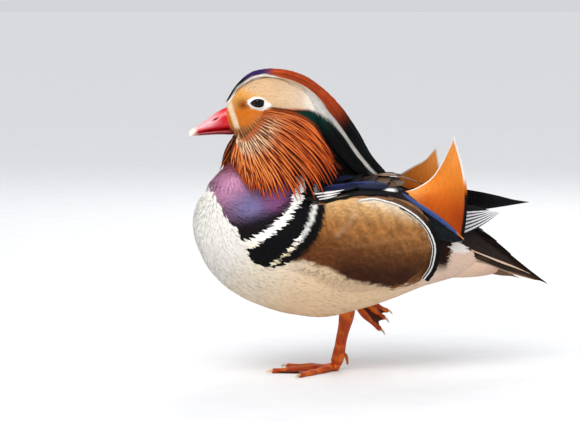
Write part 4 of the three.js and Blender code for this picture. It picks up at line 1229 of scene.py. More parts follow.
def make_flank(side, word, materials):
    rng = np.random.default_rng(80 + side)
    bunch = Bunch()
    rows, step, count = 21, 5.4, 24
    for row in range(rows - 1, -1, -1):
        degrees = lerp(44, 129, (np.arange(count) + 0.5 * (row % 2)) / count)
        degrees = degrees + rng.uniform(-1, 1, count)
        tip_x = flank_end(degrees) - 2 - step * row + rng.uniform(-1.2, 1.2, count)
        high = flank_height(degrees)
        place = marking_place(on_trunk(LEFT, tip_x, degrees, high))
        inside = np.minimum(-beside(FLANK_EDGE, place), -beside(BREAST_REAR, place))
        rise = smooth(inside, 4, 26)
        tip = np.c_[tip_x, degrees, lerp(0.8, high + 0.1, rise)]
        rising = 10 * smooth(degrees, 60, 90) * smooth(degrees, 128, 112)
        origin = lerp(degrees, 92, 0.06) + rising
        root = np.c_[tip_x - 20, origin, lerp(-1.0, flank_height(origin) - 0.6, rise)]
        keep = (inside > 4) & (tip_x > -50) & (beside(FLANK_RIM, place) > 0)
        if keep.any():
            trunk_vanes(bunch, side, root[keep], tip[keep], 9.5, flank_colour, thick=0.14,
                        rings=11, cols=5, curl=0.1, bow=0.008, soft=0.95,
                        height=flank_height)
    make_rim(bunch, side)
    piece = bunch.piece(f"flank_feathers_{word}", materials["flank"])
    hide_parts(f"flank_{word}")


def make_wing(side, word, materials):
    rng = np.random.default_rng(90 + side)
    bunch = Bunch()

    def add(root, tip, wide, base, rim=None, shaft=None, **options):
        base = base * rng.uniform(0.9, 1.1)
        rim = base * 1.3 if rim is None else rim
        colour = options.pop("colour", edged(base, rim, shaft, options.pop("rim_width", 0.1)))
        trunk_vanes(bunch, side, root, tip, wide, colour, **options)

    def add_at(root, tip, low, high, wide, base, rim=None, shaft=None, **options):
        """A feather whose root and tip show at two spots of the view."""
        rows = locate([root, tip], [low, high])
        add(rows[0], rows[1], wide, base, rim, shaft, **options)

    # Scapulars along the back, dark near the crest and brown behind it
    slate, earth = ink(26, 25, 30), ink(100, 74, 54)
    for row in range(3):
        for i in range(6):
            x = -24 + 12 * i + 3 * (row % 2)
            degrees = 3 + 6.5 * row
            high = 8.4 - 0.7 * i - 0.6 * row
            base = blend(slate, earth, smooth(x, 8, 24) * rng.uniform(0.8, 1))
            add((x - 14, degrees, high - 5), (x + 16, degrees + 2, high), 12, base,
                base * 0.7, base * 0.6)

    def brown_tipped(points, across, along):
        made = np.broadcast_to(ink(118, 88, 64), points.shape)
        shaft = smooth(np.abs(across), 0.3, 0.0) * smooth(along, 0.9, 0.5)
        made = blend(made, ink(150, 118, 92), shaft)
        return blend(made, ink(22, 17, 16), smooth(along, 0.8, 0.9))

    add_at((362, 164), (413, 170.5), 5.0, 9.2, 10, BLACK, colour=brown_tipped)
    add_at((352, 170), (402, 175), 4.6, 8.6, 11, BLACK, colour=brown_tipped)
    # Brown coverts in a band along the top of the flank
    bark = ink(142, 98, 64)
    for root, tip in (
        ((318, 202), (352, 198)), ((332, 203), (372, 199)), ((348, 202), (390, 201)),
        ((362, 201), (404, 204)), ((376, 198), (416, 209)), ((388, 198), (424, 217)),
        ((396, 204), (430, 225)),
    ):
        add_at(root, tip, 3.4, 7.0, 9, bark, bark * 0.6, bark * 0.5, thick=0.6)
    # Black secondaries with a green gloss, between the rim of the flank and the sail
    for tip in ((436, 238), (445, 240), (452, 241), (458, 241.5), (463, 240.5), (456, 235),
                (447, 229), (437, 223)):
        add_at((404, 206 + 0.4 * (tip[1] - 223)), tip, 1.0, 5.0, 8, ink(12, 17, 20),
               ink(18, 38, 42), BLACK, rim_width=0.06, thick=0.6)
    # Long dark blue scapulars, the last with a white wedge and a black end

    def tipped(points, across, along):
        made = np.broadcast_to(ink(16, 16, 26), points.shape)
        upper = -side * across
        wedge = smooth(along, 0.5, 0.6) * smooth(along, 0.84, 0.76) * smooth(upper, -0.35, -0.15)
        return blend(made, WHITE, wedge * smooth(upper, 0.75, 0.55))

    def navy(points, across, along):
        # The upper part of each navy feather is painted lighter, as a highlight where the light
        # falls.
        made = blend(ink(20, 27, 60), ink(60, 68, 122), smooth(-side * across, 0.1, -0.9))
        made = blend(made, ink(16, 20, 44), smooth(along, 0.6, 0.95))
        out = np.maximum(np.abs(across), smooth(along, 0.9, 1.0))
        return blend(made, ink(12, 12, 24), smooth(out, 0.84, 0.97))

    add_at((330, 195), (401, 193), 4.6, 7.6, 6, ink(14, 12, 14))
    add_at((360, 189), (404, 190.5), 5.0, 8.4, 8, BLACK, colour=tipped)
    add_at((300, 183), (353, 176), 3.0, 8.2, 9, BLACK, colour=navy)
    add_at((306, 189), (358, 185), 3.4, 8.8, 10.5, BLACK, colour=navy)
    add_at((334, 186), (389, 186), 4.0, 9.0, 10.5, BLACK, colour=navy)
    # White and black streaks behind the ruff
    for root, tip, wide, shade in (
        ((306, 198), (352, 196), 9, BLACK), ((315, 194), (345, 189.6), 3.0, WHITE),
        ((317, 197), (341, 192.6), 2.4, WHITE), ((319, 199.6), (338, 195.4), 2.2, WHITE),
        ((328, 198.6), (350, 194.6), 1.8, OLIVE),
    ):
        add_at(root, tip, 4.6 if shade is BLACK else 5.8, 7.4 if shade is BLACK else 8.4, wide,
               shade, BLACK, rim_width=0.2, shape=plume_shape)
    piece = bunch.piece(f"wing_feathers_{word}", materials["wing"])
    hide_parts(f"wing_{word}")
    make_primaries(side, word, materials)


def make_primaries(side, word, materials):
    """The long flight feathers that cross over the rump; the nearer ones are barred."""
    bunch = Bunch()
    key = PRIMARIES[side]
    count = 7
    t = np.linspace(0, 1, 26)[:, None]
    for i in range(count):
        share = i / (count - 1)
        low, high = key["spread"]
        root = np.array([58, side * lerp(31, 27, share), lerp(low, high - 2, share)])
        tip = np.array([key["tip"][0] - key["reach"] * share, side * key["tip"][1],
                        key["tip"][2] + 1.5 * share])
        middle = np.array([98, side * lerp(21.5, 17, share), lerp(low - 3, high, share)])
        middle[2] += key["bow"] * 0.5
        path = root * (1 - t) ** 2 + middle * 2 * t * (1 - t) + tip * t**2
        path[:, 1] += side * 1.6 * (share - 0.5) * t[:, 0] ** 0.5
        up = unit(np.array([0.1, side, 0.45]))

        def barred(points, across, along):
            lower = -side * across
            bare = np.broadcast_to(ink(242, 240, 242), points.shape)
            return blend(bare, BLACK, smooth(lower, 0.58, 0.7))

        dark = edged(ink(15, 14, 18), ink(52, 38, 32), ink(40, 32, 30), 0.06)
        is_barred = side == LEFT and i < 6
        bunch.lay(path, up, 7.6 * plume_shape(t[:, 0], 0.9, 0.08), 0.5,
                  barred if is_barred else dark, cols=15, bow=0.03)
    piece = bunch.piece(f"primaries_{word}", materials["wing"])


# The middle of the sail's blue outer web
WEB_LINE = [(402, 193), (414, 202), (427, 210.5), (440, 219.5), (452, 229.5), (464, 240.5)]


def make_sail(side, word, materials):
    key = SAILS[side]
    rows = {name: np.array(key[name], float) * (1, side, 1) for name in ("shaft", "edge")}
    nu, nv = 90, 80
    u = lerp(0.04, 1, np.linspace(0, 1, nu))[:, None]
    v = np.linspace(0, 1, nv)[None]

    def web(u, v):
        u, v = np.broadcast_arrays(u, v)
        p = lerp(spline(rows["shaft"], u), spline(rows["edge"], u), v[..., None])
        bow = np.sin(math.pi * v) * u * key["belly"]
        p[..., 0] += bow
        p[..., 1] += side * bow
        return p

    p = web(u, v)
    normal = unit(np.cross(np.gradient(p, axis=0), np.gradient(p, axis=1)))
    half = 0.25 * lerp(1.2, 0.8, v) * np.ones_like(u)
    furrow = 0.12 * np.sin(2 * math.pi * (u * 36 + 0.8 * v)) * smooth(v, 0, 0.1)
    top = p + normal * (half + furrow)[..., None]
    under = p - normal * (half - furrow)[..., None]
    points = np.concatenate([top.reshape(-1, 3), under.reshape(-1, 3)])
    flat = grid_faces(nu, nv)
    size = nu * nv
    spot = np.arange(size).reshape(nu, nv)
    rim = np.concatenate([spot[:, 0], spot[-1, 1:], spot[-2::-1, -1], spot[0, -2:0:-1]])
    after = np.roll(rim, -1)
    sides = np.stack([rim, rim + size, after + size, after], -1)
    faces = [np.concatenate([flat, flat[:, ::-1] + size, sides])]
    uu, vv = np.broadcast_arrays(u, v)
    low = blend(ink(206, 92, 14), ink(160, 56, 4), smooth(uu, 0.55, 1))
    colour = blend(low, ink(228, 128, 38), smooth(vv, 0.15, 0.7))
    colour = blend(colour, ink(246, 168, 88), 0.6 * smooth(uu, 0.45, 0.1))
    colour = blend(colour, ink(248, 166, 84), 0.5 * smooth(vv, 0.5, 0.95) * smooth(uu, 0.5, 0.9))
    fine = ripple(np.stack([uu * 60, vv * 6], -1), 2.4, 9)
    colour = colour * (1 + 0.06 * fine)[..., None]
    tail_edge = (1 - uu) * 62
    white = smooth(tail_edge, 3.6, 2.6) * smooth(vv, 0.5, 0.62)
    white = np.maximum(white, smooth((1 - vv) * 55 * uu, 1.5, 0.8) * smooth(uu, 0.1, 0.2))
    colour = blend(colour, WHITE, white)
    colour = blend(colour, BLACK, smooth(tail_edge, 3.2, 2.4) * smooth(vv, 0.5, 0.4))
    colour = np.concatenate([colour.reshape(-1, 3)] * 2)
    barb = np.stack([uu * 0, uu * 6.2 + vv * 1.2], -1).reshape(-1, 2)
    bake = np.stack([0.05 + 0.9 * uu, 0.02 + 0.47 * vv], -1).reshape(-1, 2)
    maps = {"OFBake": np.concatenate([bake, bake + (0, 0.5)]), "Barb": np.concatenate([barb] * 2)}
    piece = new_piece(f"sail_web_{word}", points, faces, materials["sail"], colour, maps)
    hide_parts(f"sail_{word}")
    # The shaft, and the narrow blue outer web below it
    bunch = Bunch()
    t = np.linspace(0, 1, 40)
    shaft = spline(rows["shaft"], t)
    bunch.lay(shaft, (0.1, side, 0.2), lerp(2.0, 1.2, t), 1.2, np.array([ink(238, 130, 40)]),
              cols=5)
    line = spline(WEB_LINE, t)
    x, degrees, off = locate(line, lerp(6.4, 4.6, t)).T
    outer = on_trunk(side, x, degrees, off)
    up = unit(outer - on_trunk(side, x, degrees, off - 3))
    breadth = np.sin(math.pi * lerp(0.06, 0.97, t**0.9)) ** 0.7

    def blue(points, across, along):
        made = np.broadcast_to(ink(56, 78, 132), points.shape)
        made = blend(made, ink(88, 114, 168), 0.6 * smooth(-side * across, 0.1, -0.7))
        return blend(made, ink(18, 24, 60), smooth(np.abs(across), 0.75, 1) * 0.8)

    bunch.lay(outer, up, 4.8 * breadth, 0.6, blue, cols=9)
    piece = bunch.piece(f"sail_shaft_{word}", materials["wing"])


def on_tail(along, across, off):
    """A point of the roof that rump and tail make: across is 0 on the ridge and 1 at the rim."""
    along, across, off = np.broadcast_arrays(np.asarray(along, float), across, off)
    ridge, rim = spline(TAIL_RIDGE, along), spline(TAIL_RIM, along)
    p = lerp(ridge, rim, (np.abs(across) ** 1.15)[..., None])
    p[..., 1] *= np.sign(across)
    p[..., 2] += off
    p[..., 1] += off * 0.8 * across
    return p


def make_tail(materials):
    rng = np.random.default_rng(101)
    bunch = Bunch()

    def feather(first, last, across, low, high, wide, colour):
        t = np.linspace(0, 1, 22)
        path = on_tail(lerp(first, last, t), across * lerp(1.04, 0.96, t), lerp(low, high, t))
        up = unit(path - on_tail(lerp(first, last, t), 0.5 * across, -12))
        bunch.lay(path, up, wide * vane_shape(t), 0.6, colour, cols=9, bow=0.05)

    def flight(pale):
        def colour(points, across, along):
            made = np.broadcast_to(ink(46, 31, 22), points.shape)
            made = blend(made, ink(66, 46, 34), smooth(along, 0.4, 1))
            made = blend(made, ink(80, 58, 44), smooth(np.abs(across), 0.1, 0.03))
            return blend(made, ink(206, 168, 138), pale * smooth(across, 0.72, 0.86))
        return colour

    for i in (7, -7, 6, -6, 5, -5, 4, -4, 3, -3, 2, -2, 1, -1, 0):
        across = i / 7
        feather(0.22, 1 - 0.03 * abs(across), across, -1.6, 0.2 - 0.12 * abs(i), 9.5,
                flight(1.0 if i == -7 else 0.0))
    # Coverts that lead from the rump onto the tail, in rows like tiles
    for row in range(8):
        count = 9 - row % 2
        for i in range(count):
            across = (2 * i / (count - 1) - 1) * 0.98
            last = 0.66 - 0.075 * row + rng.uniform(-0.015, 0.015) - 0.05 * abs(across)
            base = ink(40, 29, 24) * rng.uniform(0.85, 1.1)
            feather(max(last - 0.3, 0), last, across, -1.0, 0.3 + 0.1 * row, 9.5,
                    edged(base, base * 1.25, base * 1.3, 0.08))
    # The pale edge of the lowest feather on the near side
    edge_t = np.linspace(0.12, 0.86, 30)
    path = on_tail(edge_t, -1.02, 0.8)
    up = unit(path - on_tail(edge_t, -0.5, -12))
    bunch.lay(path, up, 1.7 * plume_shape(np.linspace(0, 1, 30), 0.4, 0.2), 0.5,
              np.array([ink(222, 190, 162)]))
    # Brown tips of the feathers under the tail
    t = np.linspace(0, 1, 14)
    for i in range(-4, 5):
        start = np.array([112 + abs(i), 1.6 * i, 82 - 0.3 * abs(i)])
        end = np.array([155 - 2.4 * abs(i), 1.9 * i, 71.5 + 0.9 * abs(i)])
        path = start + (end - start) * t[:, None]
        up = unit(np.array([0.1, 0.25 * i, -1.0]))
        base = ink(112, 82, 62) * rng.uniform(0.9, 1.1)
        bunch.lay(path, up, 7.5 * vane_shape(t, 0.7, 0.05), 0.5, edged(base, ink(150, 116, 92)),
                  cols=7, bow=0.04)
    piece = bunch.piece("tail_feathers", materials["wing"])
    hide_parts("tail")


def make_vent(materials):
    rng = np.random.default_rng(111)
    bunch = Bunch()
    count = 1500
    t = np.linspace(0, 1, 6)[None]
    along = np.sort(rng.uniform(-1, 0.7, (count, 1)), axis=0)[::-1]
    around = rng.uniform(0, 2 * math.pi, (count, 1))
    reach = rng.uniform(0.24, 0.36, (count, 1))
    s = np.minimum(along + reach * t, 1.28)
    size = np.sqrt(np.maximum(1 - np.clip(s, -0.98, 0.98) ** 2, 0.04)) ** 0.8
    x = 109 + 34 * s
    y = 14 * size * np.sin(around)
    z = 82 + (x - 109) * 0.02 + 9 * size * np.cos(around) + 0.4 * np.sin(3 * t)
    path = np.stack(np.broadcast_arrays(x, y, z), -1)
    up = unit(np.stack(np.broadcast_arrays(0.2 + 0 * y, np.sin(around) + 0 * y,
                                           np.cos(around) + 0 * y), -1))
    tone = rng.uniform(0.92, 1.06, (count, 1, 1, 1))

    def colour(points, across, along):
        base = blend(ink(226, 194, 170), ink(206, 168, 146), smooth(points[..., 0], 100, 140))
        return blend(base, ink(236, 212, 192), smooth(points[..., 2], 84, 90)) * tone

    bunch.add(path, up, 3.0 * plume_shape(t, 0.5, 0.12), 0.4, colour, bow=0.05, soft=0.8)
    piece = bunch.piece("vent_feathers", materials["coat"])
    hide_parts("vent")


# Bill, eyes and lids


def grid_map(grid):
    """A map of a grid's points: their shares along it and round it."""
    shares = (np.linspace(0, 1, count) for count in grid.shape[:2])
    return np.stack(np.meshgrid(*shares, indexing="ij"), -1).reshape(-1, 2)


def weld(piece):
    tidy = piece.modifiers.new("weld", "WELD")
    tidy.merge_threshold = 1e-6


def bare_piece(name, grid, material, colour, replaces=()):
    """A bare part from one closed grid."""
    piece = new_piece(name, grid.reshape(-1, 3), [closed_grid(grid)], material,
                      colour.reshape(-1, 3), {"OFBake": 0.02 + 0.96 * grid_map(grid)})
    weld(piece)
    for node_name in replaces:
        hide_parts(node_name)


def make_bill(materials):
    _, upper = soft_body(UPPER_BILL_ROWS, squareness=2.3)
    _, lower = soft_body(LOWER_BILL_ROWS, squareness=2.6)
    p = upper(84, 96)
    x, y, z = p[..., 0], p[..., 1], p[..., 2]
    p[..., 1] = y * (1 - 0.35 * np.clip((z - 191) / 23, 0, 1))
    over_nostril = z - 203.8 - 0.5 * (x + 97.5)
    nostril = np.exp(-(((x + 97.5) / 2.6) ** 2) - (over_nostril / 0.9) ** 2)
    rim = np.exp(-(((x + 97.5) / 4.2) ** 2) - (over_nostril / 2.4) ** 2)
    p[..., 1] += np.sign(y) * (0.8 * rim - 2.0 * nostril)
    nail = smooth(x, -113.5, -115.5) * smooth(np.abs(y), 4.8, 3.6)
    p[..., 2] += 0.4 * nail * np.where(z > 192, 1, 0)
    q = turned(p)
    red = np.broadcast_to(ink(200, 8, 26), p.shape)
    # A broad pale pink painted highlight on the upper front of the bill.
    painted_highlight = smooth(x, -90, -104) * smooth(z - 0.25 * (x + 104), 195.5, 199)
    red = blend(red, ink(246, 176, 182), 0.75 * painted_highlight)
    red = blend(red, ink(246, 226, 208), smooth(x, -110.5, -115.5))
    red = blend(red, ink(200, 10, 30), smooth(z, 196.8, 194.6) * smooth(x, -113, -108))
    # The nostril's hollow is painted dark red as shade.
    red = blend(red, ink(90, 10, 16), smooth(nostril, 0.35, 0.8))
    bare_piece("upper_bill", q, materials["bill"], red, ["bill_upper"])
    p = lower(56, 44)
    colour = blend(np.broadcast_to(ink(120, 12, 20), p.shape), ink(214, 170, 150),
                   smooth(p[..., 0], -110, -114))
    bare_piece("lower_bill", turned(p), materials["bill"], colour, ["bill_lower"])


def make_eye(side, word, materials):
    around, along = 48, 32
    u = np.linspace(0, math.pi, along + 1)[:, None]
    a = np.linspace(0, 2 * math.pi, around, endpoint=False)[None]
    ball = np.stack([np.sin(u) * np.cos(a), side * np.cos(u) * np.ones_like(a),
                     np.sin(u) * np.sin(a)], -1)
    out = np.degrees(np.broadcast_to(u, ball.shape[:2]))
    swell = 1 + 0.05 * smooth(out, 34, 20)
    grid = ball * (EYE_RADIUS * swell)[..., None] + (EYE_X, side * EYE_Y, EYE_Z)
    if side == LEFT:
        grid = grid[:, ::-1]
    iris = blend(np.broadcast_to(ink(30, 17, 11), ball.shape), ink(3, 3, 4), smooth(out, 30, 27))
    iris = blend(iris, ink(10, 8, 8), smooth(out, 48, 54))
    if side == LEFT:
        iris = iris[:, ::-1]
    bare_piece(f"eyeball_{word}", turned(grid), materials["eye"], iris, [f"eye_{word}"])
    # The lids: a fold of skin from the eye's opening out over the ball into the face
    opening = np.array([5.3, 3.3])
    turns = np.linspace(0, 2 * math.pi, 84, endpoint=False)
    steps = np.array([0, 0.0, 0.15, 0.4, 0.7, 1.0, 1.0, 0.5])
    rises = np.array([-0.9, 0.3, 0.65, 0.6, 0.5, 0.1, -2.4, -2.0])
    rows = []
    for share, rise in zip(steps, rises):
        front = np.maximum(-np.cos(turns), 0) ** 12
        rear = np.maximum(np.cos(turns), 0) ** 10
        wide = opening[0] + 2.2 * share + 0.9 * front + 0.8 * share * rear
        high = opening[1] + 2.7 * share
        x = wide * np.cos(turns)
        z = high * np.sin(turns) - 0.5 * (1 - share) * front
        far = np.minimum(np.hypot(x, z), EYE_RADIUS - 0.35)
        y = np.sqrt(EYE_RADIUS**2 - far**2) + rise
        rows.append(np.stack([EYE_X + x, side * (EYE_Y + y), EYE_Z + z], -1))
    rows.append(rows[0])
    grid = np.array(rows)
    if side == RIGHT:
        grid = grid[:, ::-1]
    rim = np.array([1, 1, 0, 0, 0, 0, 0, 0, 1])[:, None] * np.ones((1, len(turns)))
    q = turned(grid)
    colour = blend(head_colour(marking_place(q)), ink(30, 22, 22), rim)
    bare_piece(f"lids_{word}", q, materials["lids"], colour)


# Legs and feet


def tube(points, radius, rings=60, sides=24, flat=1.0, sideways=(0, 1, 0), relief=None):
    """A round or flattened tube along a curve, closed at both ends."""
    dense = spline(points, np.linspace(0, 1, 400))
    run = np.concatenate([[0], np.cumsum(np.linalg.norm(np.diff(dense, axis=0), axis=1))])
    t = (1 - np.cos(np.linspace(0, math.pi, rings))) / 2
    t = lerp(t, np.linspace(0, 1, rings), 0.7)
    centre = np.stack([np.interp(t * run[-1], run, dense[:, k]) for k in range(3)], -1)
    tangent = unit(np.gradient(centre, axis=0))
    ref = np.array(sideways, float)
    side = unit(ref - tangent * (tangent @ ref)[:, None])
    up = np.cross(tangent, side)
    angle = np.linspace(0, 2 * math.pi, sides, endpoint=False)[None]
    size = radius(t)[:, None] * np.ones_like(angle)
    if relief is not None:
        size = size + relief(t[:, None] * run[-1], angle)
    cap = np.sqrt(np.clip(np.minimum(t, 1 - t) * run[-1] / np.maximum(radius(t), 0.1), 0, 1))
    size = size * cap[:, None]
    return (centre[:, None] + side[:, None] * (size * flat * np.cos(angle))[..., None]
            + up[:, None] * (size * np.sin(angle))[..., None])


def scutes(pitch, height):
    """Overlapping plates across the top of a toe or down the front of the shank."""
    def relief(run, angle):
        saw = (run / pitch) % 1
        plate = height * (saw**0.6 - 0.4) * smooth(saw, 1.0, 0.9)
        front = smooth(np.sin(angle), 0.0, 0.5)
        cells = 0.5 * height * np.sin(run / pitch * 9) * np.sin(angle * 7) * (1 - front)
        return plate * front + cells
    return relief


def join_grids(name, grids, material, colours, replaces=()):
    points, faces, count, maps = [], [], 0, []
    for k, grid in enumerate(grids):
        faces.append(closed_grid(grid, count))
        points.append(grid.reshape(-1, 3))
        cell = np.array([k % 4, k // 4]) / 4
        maps.append(cell + 0.005 + 0.24 * grid_map(grid))
        count += len(points[-1])
    piece = new_piece(name, np.concatenate(points), [np.concatenate(faces)], material,
                      np.concatenate([c.reshape(-1, 3) for c in colours]),
                      {"OFBake": np.concatenate(maps)})
    weld(piece)
    for node_name in replaces:
        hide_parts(node_name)


FOOT, FOOT_LIGHT, FOOT_DARK = ink(172, 60, 4), ink(214, 100, 20), ink(84, 28, 8)
CLAW = ink(206, 176, 140)


def toe_grids(points, thick, joints):
    points = np.array(points, float)

    def radius(t):
        return lerp(thick, thick * 0.62, t) * (1 + 0.16 * np.cos(2 * math.pi * joints * t))

    flesh = tube(points, radius, 70, 20, relief=scutes(1.7, 0.2))
    ahead = unit(points[-1] - points[-2])
    tip = points[-1]
    claw = tube([tip - ahead * 2.0, tip + ahead * 1.6 + (0, 0, 0.6), tip + ahead * 4.4 - (0, 0, 1)],
                lambda t: lerp(thick * 0.5, 0.25, t), 24, 14)
    return flesh, claw


def web_grid(hub, a, b, thick, hollow=0.3):
    rows, cols = 20, 26
    reach = lerp(0.06, 1, np.linspace(0, 1, rows))[:, None]
    turn = np.linspace(0, 1, cols)[None]
    slack = 1 - hollow * np.sin(math.pi * turn) * reach
    rim = lerp(np.array(a, float), np.array(b, float), turn[..., None])
    p = lerp(np.array(hub, float), rim, (reach * slack)[..., None])
    fold = 0.25 * np.sin(reach * 26 + 3 * np.sin(turn * 7)) * np.sin(math.pi * turn)
    p[..., 2] += fold
    top, under = p + (0, 0, thick / 2), p - (0, 0, thick / 2)
    return np.concatenate([top, under[:, ::-1]], 1)


def make_feet(materials):
    ankle, toes = np.array([7.2, -9, 50.0]), np.array([-0.6, -1, 5.5])
    above = ankle + (-2, -3, 14)
    middle = lerp(ankle, toes, 0.5) + (0.6, 0, 0)

    def shank(t):
        knuckle = 0.5 * smooth(t, 0.66, 0.8) - 1.4 * smooth(t, 0.86, 1)
        return 4.5 + 1.9 * hump(t, 0.24, 0.18) + knuckle

    knuckles = toes + (-4.5, 0.4, -2.2)
    leg = tube([above, ankle, middle, toes, knuckles], shank, 130, 32, flat=0.82,
               relief=scutes(2.4, 0.28))
    hind = tube([(2, -2, 14), (7.4, -2, 12.5), (9.2, -2, 8), (9.4, -2, 4.6)],
                lambda t: lerp(2.2, 0.7, t), 40, 16, relief=scutes(1.4, 0.12))

    def paint_foot(grid, seed):
        base = blend(np.broadcast_to(FOOT, grid.shape), FOOT_LIGHT,
                     smooth(ripple(grid, 14, seed), -0.4, 1))
        return blend(base, FOOT_DARK, 0.5 * smooth(ripple(grid, 5, seed + 1), 0.5, 1.4))

    join_grids("shank_left", [leg, hind], materials["foot"],
               [paint_foot(leg, 1), paint_foot(hind, 2)], ["leg_left"])
    hub = np.array([-0.6, -1, 3.6])
    ends = {"middle": (-54, -3, 3.3, 3), "outer": (-38, -31, 3.0, 3), "inner": (-36, 23, 3.0, 2)}
    grids, claws = [], []
    for x, y, thick, joints in ends.values():
        share = np.array([0, 0.3, 0.65, 1])
        points = np.stack([lerp(hub[0], x, share), lerp(hub[1], y, share),
                           lerp(3.2, 1.7, share**0.7)], -1)
        flesh, claw = toe_grids(points, thick, joints)
        grids.append(flesh)
        claws.append(claw)
    pad = tube([hub + (4, 0, -1.2), hub + (-1, 0, -0.8), hub + (-8, 0, -1.4)],
               lambda t: lerp(3.4, 2.4, t) * (0.8 + 0.5 * np.sin(math.pi * t)), 30, 24, flat=1.35)
    grids.append(pad)
    web_hub = (hub[0] - 2, hub[1], 1.4)
    corner = {k: (v[0], v[1], 1.3) for k, v in ends.items()}
    webs = [web_grid(web_hub, corner["middle"], corner["outer"], 0.8),
            web_grid(web_hub, corner["inner"], corner["middle"], 0.8)]
    for grid in grids + claws + webs:
        grid[..., 2] = np.maximum(grid[..., 2], 0.0)
    colours = [paint_foot(g, k + 3) for k, g in enumerate(grids)]
    colours += [blend(np.broadcast_to(FOOT_DARK, g.shape), FOOT, 0.35 + 0 * g[..., 0])
                for g in webs]
    join_grids("toes_left", grids + webs, materials["foot"], colours, ["foot_left"])
    lifted = {"inner": (42, 14, 29.5), "middle": (47, 20, 38), "outer": (51, 25, 43.5)}
    hub = np.array([16, 16, 57.0])
    grids = [tube([hub + (-6, 0, 3), hub, hub + (6, 1, -4)], lambda t: 5 + 0 * t, 30, 24,
                  relief=scutes(1.8, 0.2))]
    for end, sag, joints in zip(lifted.values(), (-1, 1.5, 1), (2, 3, 3)):
        tip = np.array(end, float)
        knuckle = lerp(hub, tip, 0.55) + (sag, 0, sag * 0.6)
        flesh, claw = toe_grids([hub, knuckle, tip], 3.0, joints)
        grids.append(flesh)
        claws.append(claw)
    webs = [web_grid(hub, lifted["inner"], lifted["middle"], 1.2, 0.14),
            web_grid(hub, lifted["middle"], lifted["outer"], 1.2, 0.14)]
    colours = [paint_foot(g, k + 13) for k, g in enumerate(grids)]
    colours += [np.broadcast_to(ink(66, 20, 14), g.shape) for g in webs]
    join_grids("toes_right", grids + webs, materials["foot"], colours, ["foot_right"])
    join_grids("claws", claws, materials["claw"],
               [np.broadcast_to(CLAW, g.shape) for g in claws])


def make_materials():
    return {
        "skin": feather_material("skin", roughness=0.85, barbs=0.2),
        "coat": feather_material("coat", roughness=0.8, barbs=0.1, pitch=0.6, relief=0.25,
                                 mottle=0.05),
        "face": feather_material("face", roughness=0.8, barbs=0.1, pitch=0.45, relief=0.25,
                                 mottle=0.05),
        "ruff": feather_material("ruff", roughness=0.5, barbs=0.3, pitch=0.6, slant=2.2,
                                 Specular_IOR_Level=0.2),
        "crest": feather_material("crest", roughness=0.5, barbs=0.4, slant=3.0,
                                  Specular_IOR_Level=0.12),
        "wing": feather_material("wing", roughness=0.5, barbs=0.3, pitch=0.8),
        "flank": feather_material("flank", roughness=0.7, barbs=0.42, pitch=1.1, slant=0.6,
                                  mottle=0.16),
        "sail": feather_material("sail", roughness=0.5, barbs=0.22, pitch=0.9, slant=0.0,
                                 mottle=0.12),
        "bill": flesh_material("bill", 0.22, 420, 0.08, 0.06, Coat_Weight=0.25,
                               Specular_IOR_Level=0.3),
        "foot": flesh_material("foot", 0.42, 700, 0.5, 0.25, Specular_IOR_Level=0.2),
        "claw": flesh_material("claw", 0.35, 500, 0.1, 0.1),
        "lids": flesh_material("lids", 0.6, 1500, 0.3, 0.15),
        "eye": flesh_material("eye", 0.04, 300, 0.0, 0.02, Specular_IOR_Level=0.18),
    }


def dress():
    materials = make_materials()
    mesh = make_skin()
    surface = Surface(mesh)
    mesh.materials.clear()
    mesh.materials.append(materials["skin"])
    # The skin is painted a little darker than the plumage above it, as shade beneath the coat.
    paint(mesh, plumage(surface.points) * 0.96)
    corners = np.empty(len(mesh.loops), np.int32)
    mesh.loops.foreach_get("vertex_index", corners)
    totals = np.empty(len(mesh.polygons), np.int32)
    mesh.polygons.foreach_get("loop_total", totals)
    centres = np.empty(len(mesh.polygons) * 3, np.float32)
    mesh.polygons.foreach_get("center", centres)
    centres = np.repeat(centres.reshape(-1, 3) / MM, totals, axis=0)
    p = turned(surface.points[corners], -1)
    bake = charts(p, turned(centres, -1))
    for key, uv in (("OFBake", bake), ("Barb", p[:, [0, 2]] * 0.1)):
        mesh.uv_layers.new(name=key).data.foreach_set("uv", uv.astype(np.float32).ravel())
    mesh.polygons.foreach_set("use_smooth", np.ones(len(mesh.polygons), bool))
    skin = bpy.data.objects.new("skin", mesh)
    bpy.context.scene.collection.objects.link(skin)
    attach(skin, "root")
    for name in ("torso", "neck", "head"):
        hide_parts(name)
    make_coat(surface, materials)
    make_crest(materials)
    make_tail(materials)
    make_vent(materials)
    make_bill(materials)
    make_feet(materials)
    for word, side in SIDES.items():
        make_eye(side, word, materials)
        make_ruff(side, word, materials)
        make_flank(side, word, materials)
        make_wing(side, word, materials)
        make_sail(side, word, materials)


# Camera, light and floor


def aim(thing, place, target):
    thing.location = Vector(place)
    thing.rotation_euler = (Vector(target) - Vector(place)).to_track_quat("-Z", "Y").to_euler()


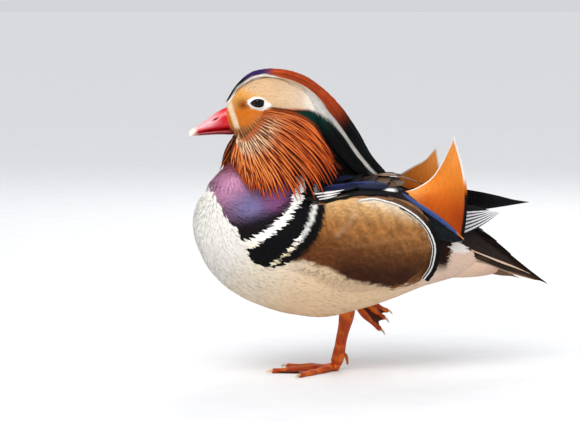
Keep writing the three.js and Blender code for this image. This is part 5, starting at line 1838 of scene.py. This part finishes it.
def set_stage():
    scene = bpy.context.scene
    scene.view_settings.view_transform = "Standard"
    camera = bpy.data.objects.new("camera", bpy.data.cameras.new("camera"))
    camera.data.sensor_fit = "HORIZONTAL"
    camera.data.angle = 2 * math.atan(IMAGE_WIDTH * PIXEL / 2 / DISTANCE)
    camera.data.clip_start, camera.data.clip_end = 0.05, 800
    scene.collection.objects.link(camera)
    aim(camera, EYE_POINT * MM, TARGET * MM)
    scene.camera = camera
    lights = [
        ("key", (-0.9, -1.1, 1.5), 1.0, 20), ("fill", (1.3, -1.3, 0.7), 1.4, 4),
        ("rim", (0.6, 1.4, 1.3), 0.9, 10),
    ]
    for name, place, size, power in lights:
        lamp = bpy.data.lights.new(name, "AREA")
        lamp.size = size
        lamp.energy = power
        thing = bpy.data.objects.new(name, lamp)
        scene.collection.objects.link(thing)
        aim(thing, place, (-0.02, 0, 0.12))
    world = bpy.data.worlds.new("studio")
    world.use_nodes = True
    background = world.node_tree.nodes["Background"]
    background.inputs["Color"].default_value = (0.93, 0.95, 1.0, 1)
    background.inputs["Strength"].default_value = 0.7
    sun = bpy.data.lights.new("sky_light", "SUN")
    sun.energy = 1.1
    sun.angle = math.radians(50)
    high = bpy.data.objects.new("sky_light", sun)
    scene.collection.objects.link(high)
    aim(high, (-0.6, -0.8, 1.9), (0, 0, 0))
    scene.world = world
    made, tree, surface = shader("floor", 0.75)
    ground = node(tree, "ShaderNodeTexCoord").outputs["Object"]
    noise = node(tree, "ShaderNodeTexNoise", {"Vector": ground, "Scale": 30.0, "Detail": 6.0})
    ramp = node(tree, "ShaderNodeMapRange", {0: noise.outputs[0], 3: 0.68, 4: 0.76})
    tint = node(tree, "ShaderNodeCombineXYZ", {k: ramp.outputs[0] for k in range(3)})
    tree.links.new(tint.outputs[0], surface.inputs["Base Color"])
    size = 300.0
    mesh = bpy.data.meshes.new("floor")
    mesh.from_pydata([(-size, -size, 0), (size, -size, 0), (size, size, 0), (-size, size, 0)], [],
                     [(0, 1, 2, 3)])
    mesh.materials.append(made)
    floor = bpy.data.objects.new("floor", mesh)
    scene.collection.objects.link(floor)


dress()
set_stage()
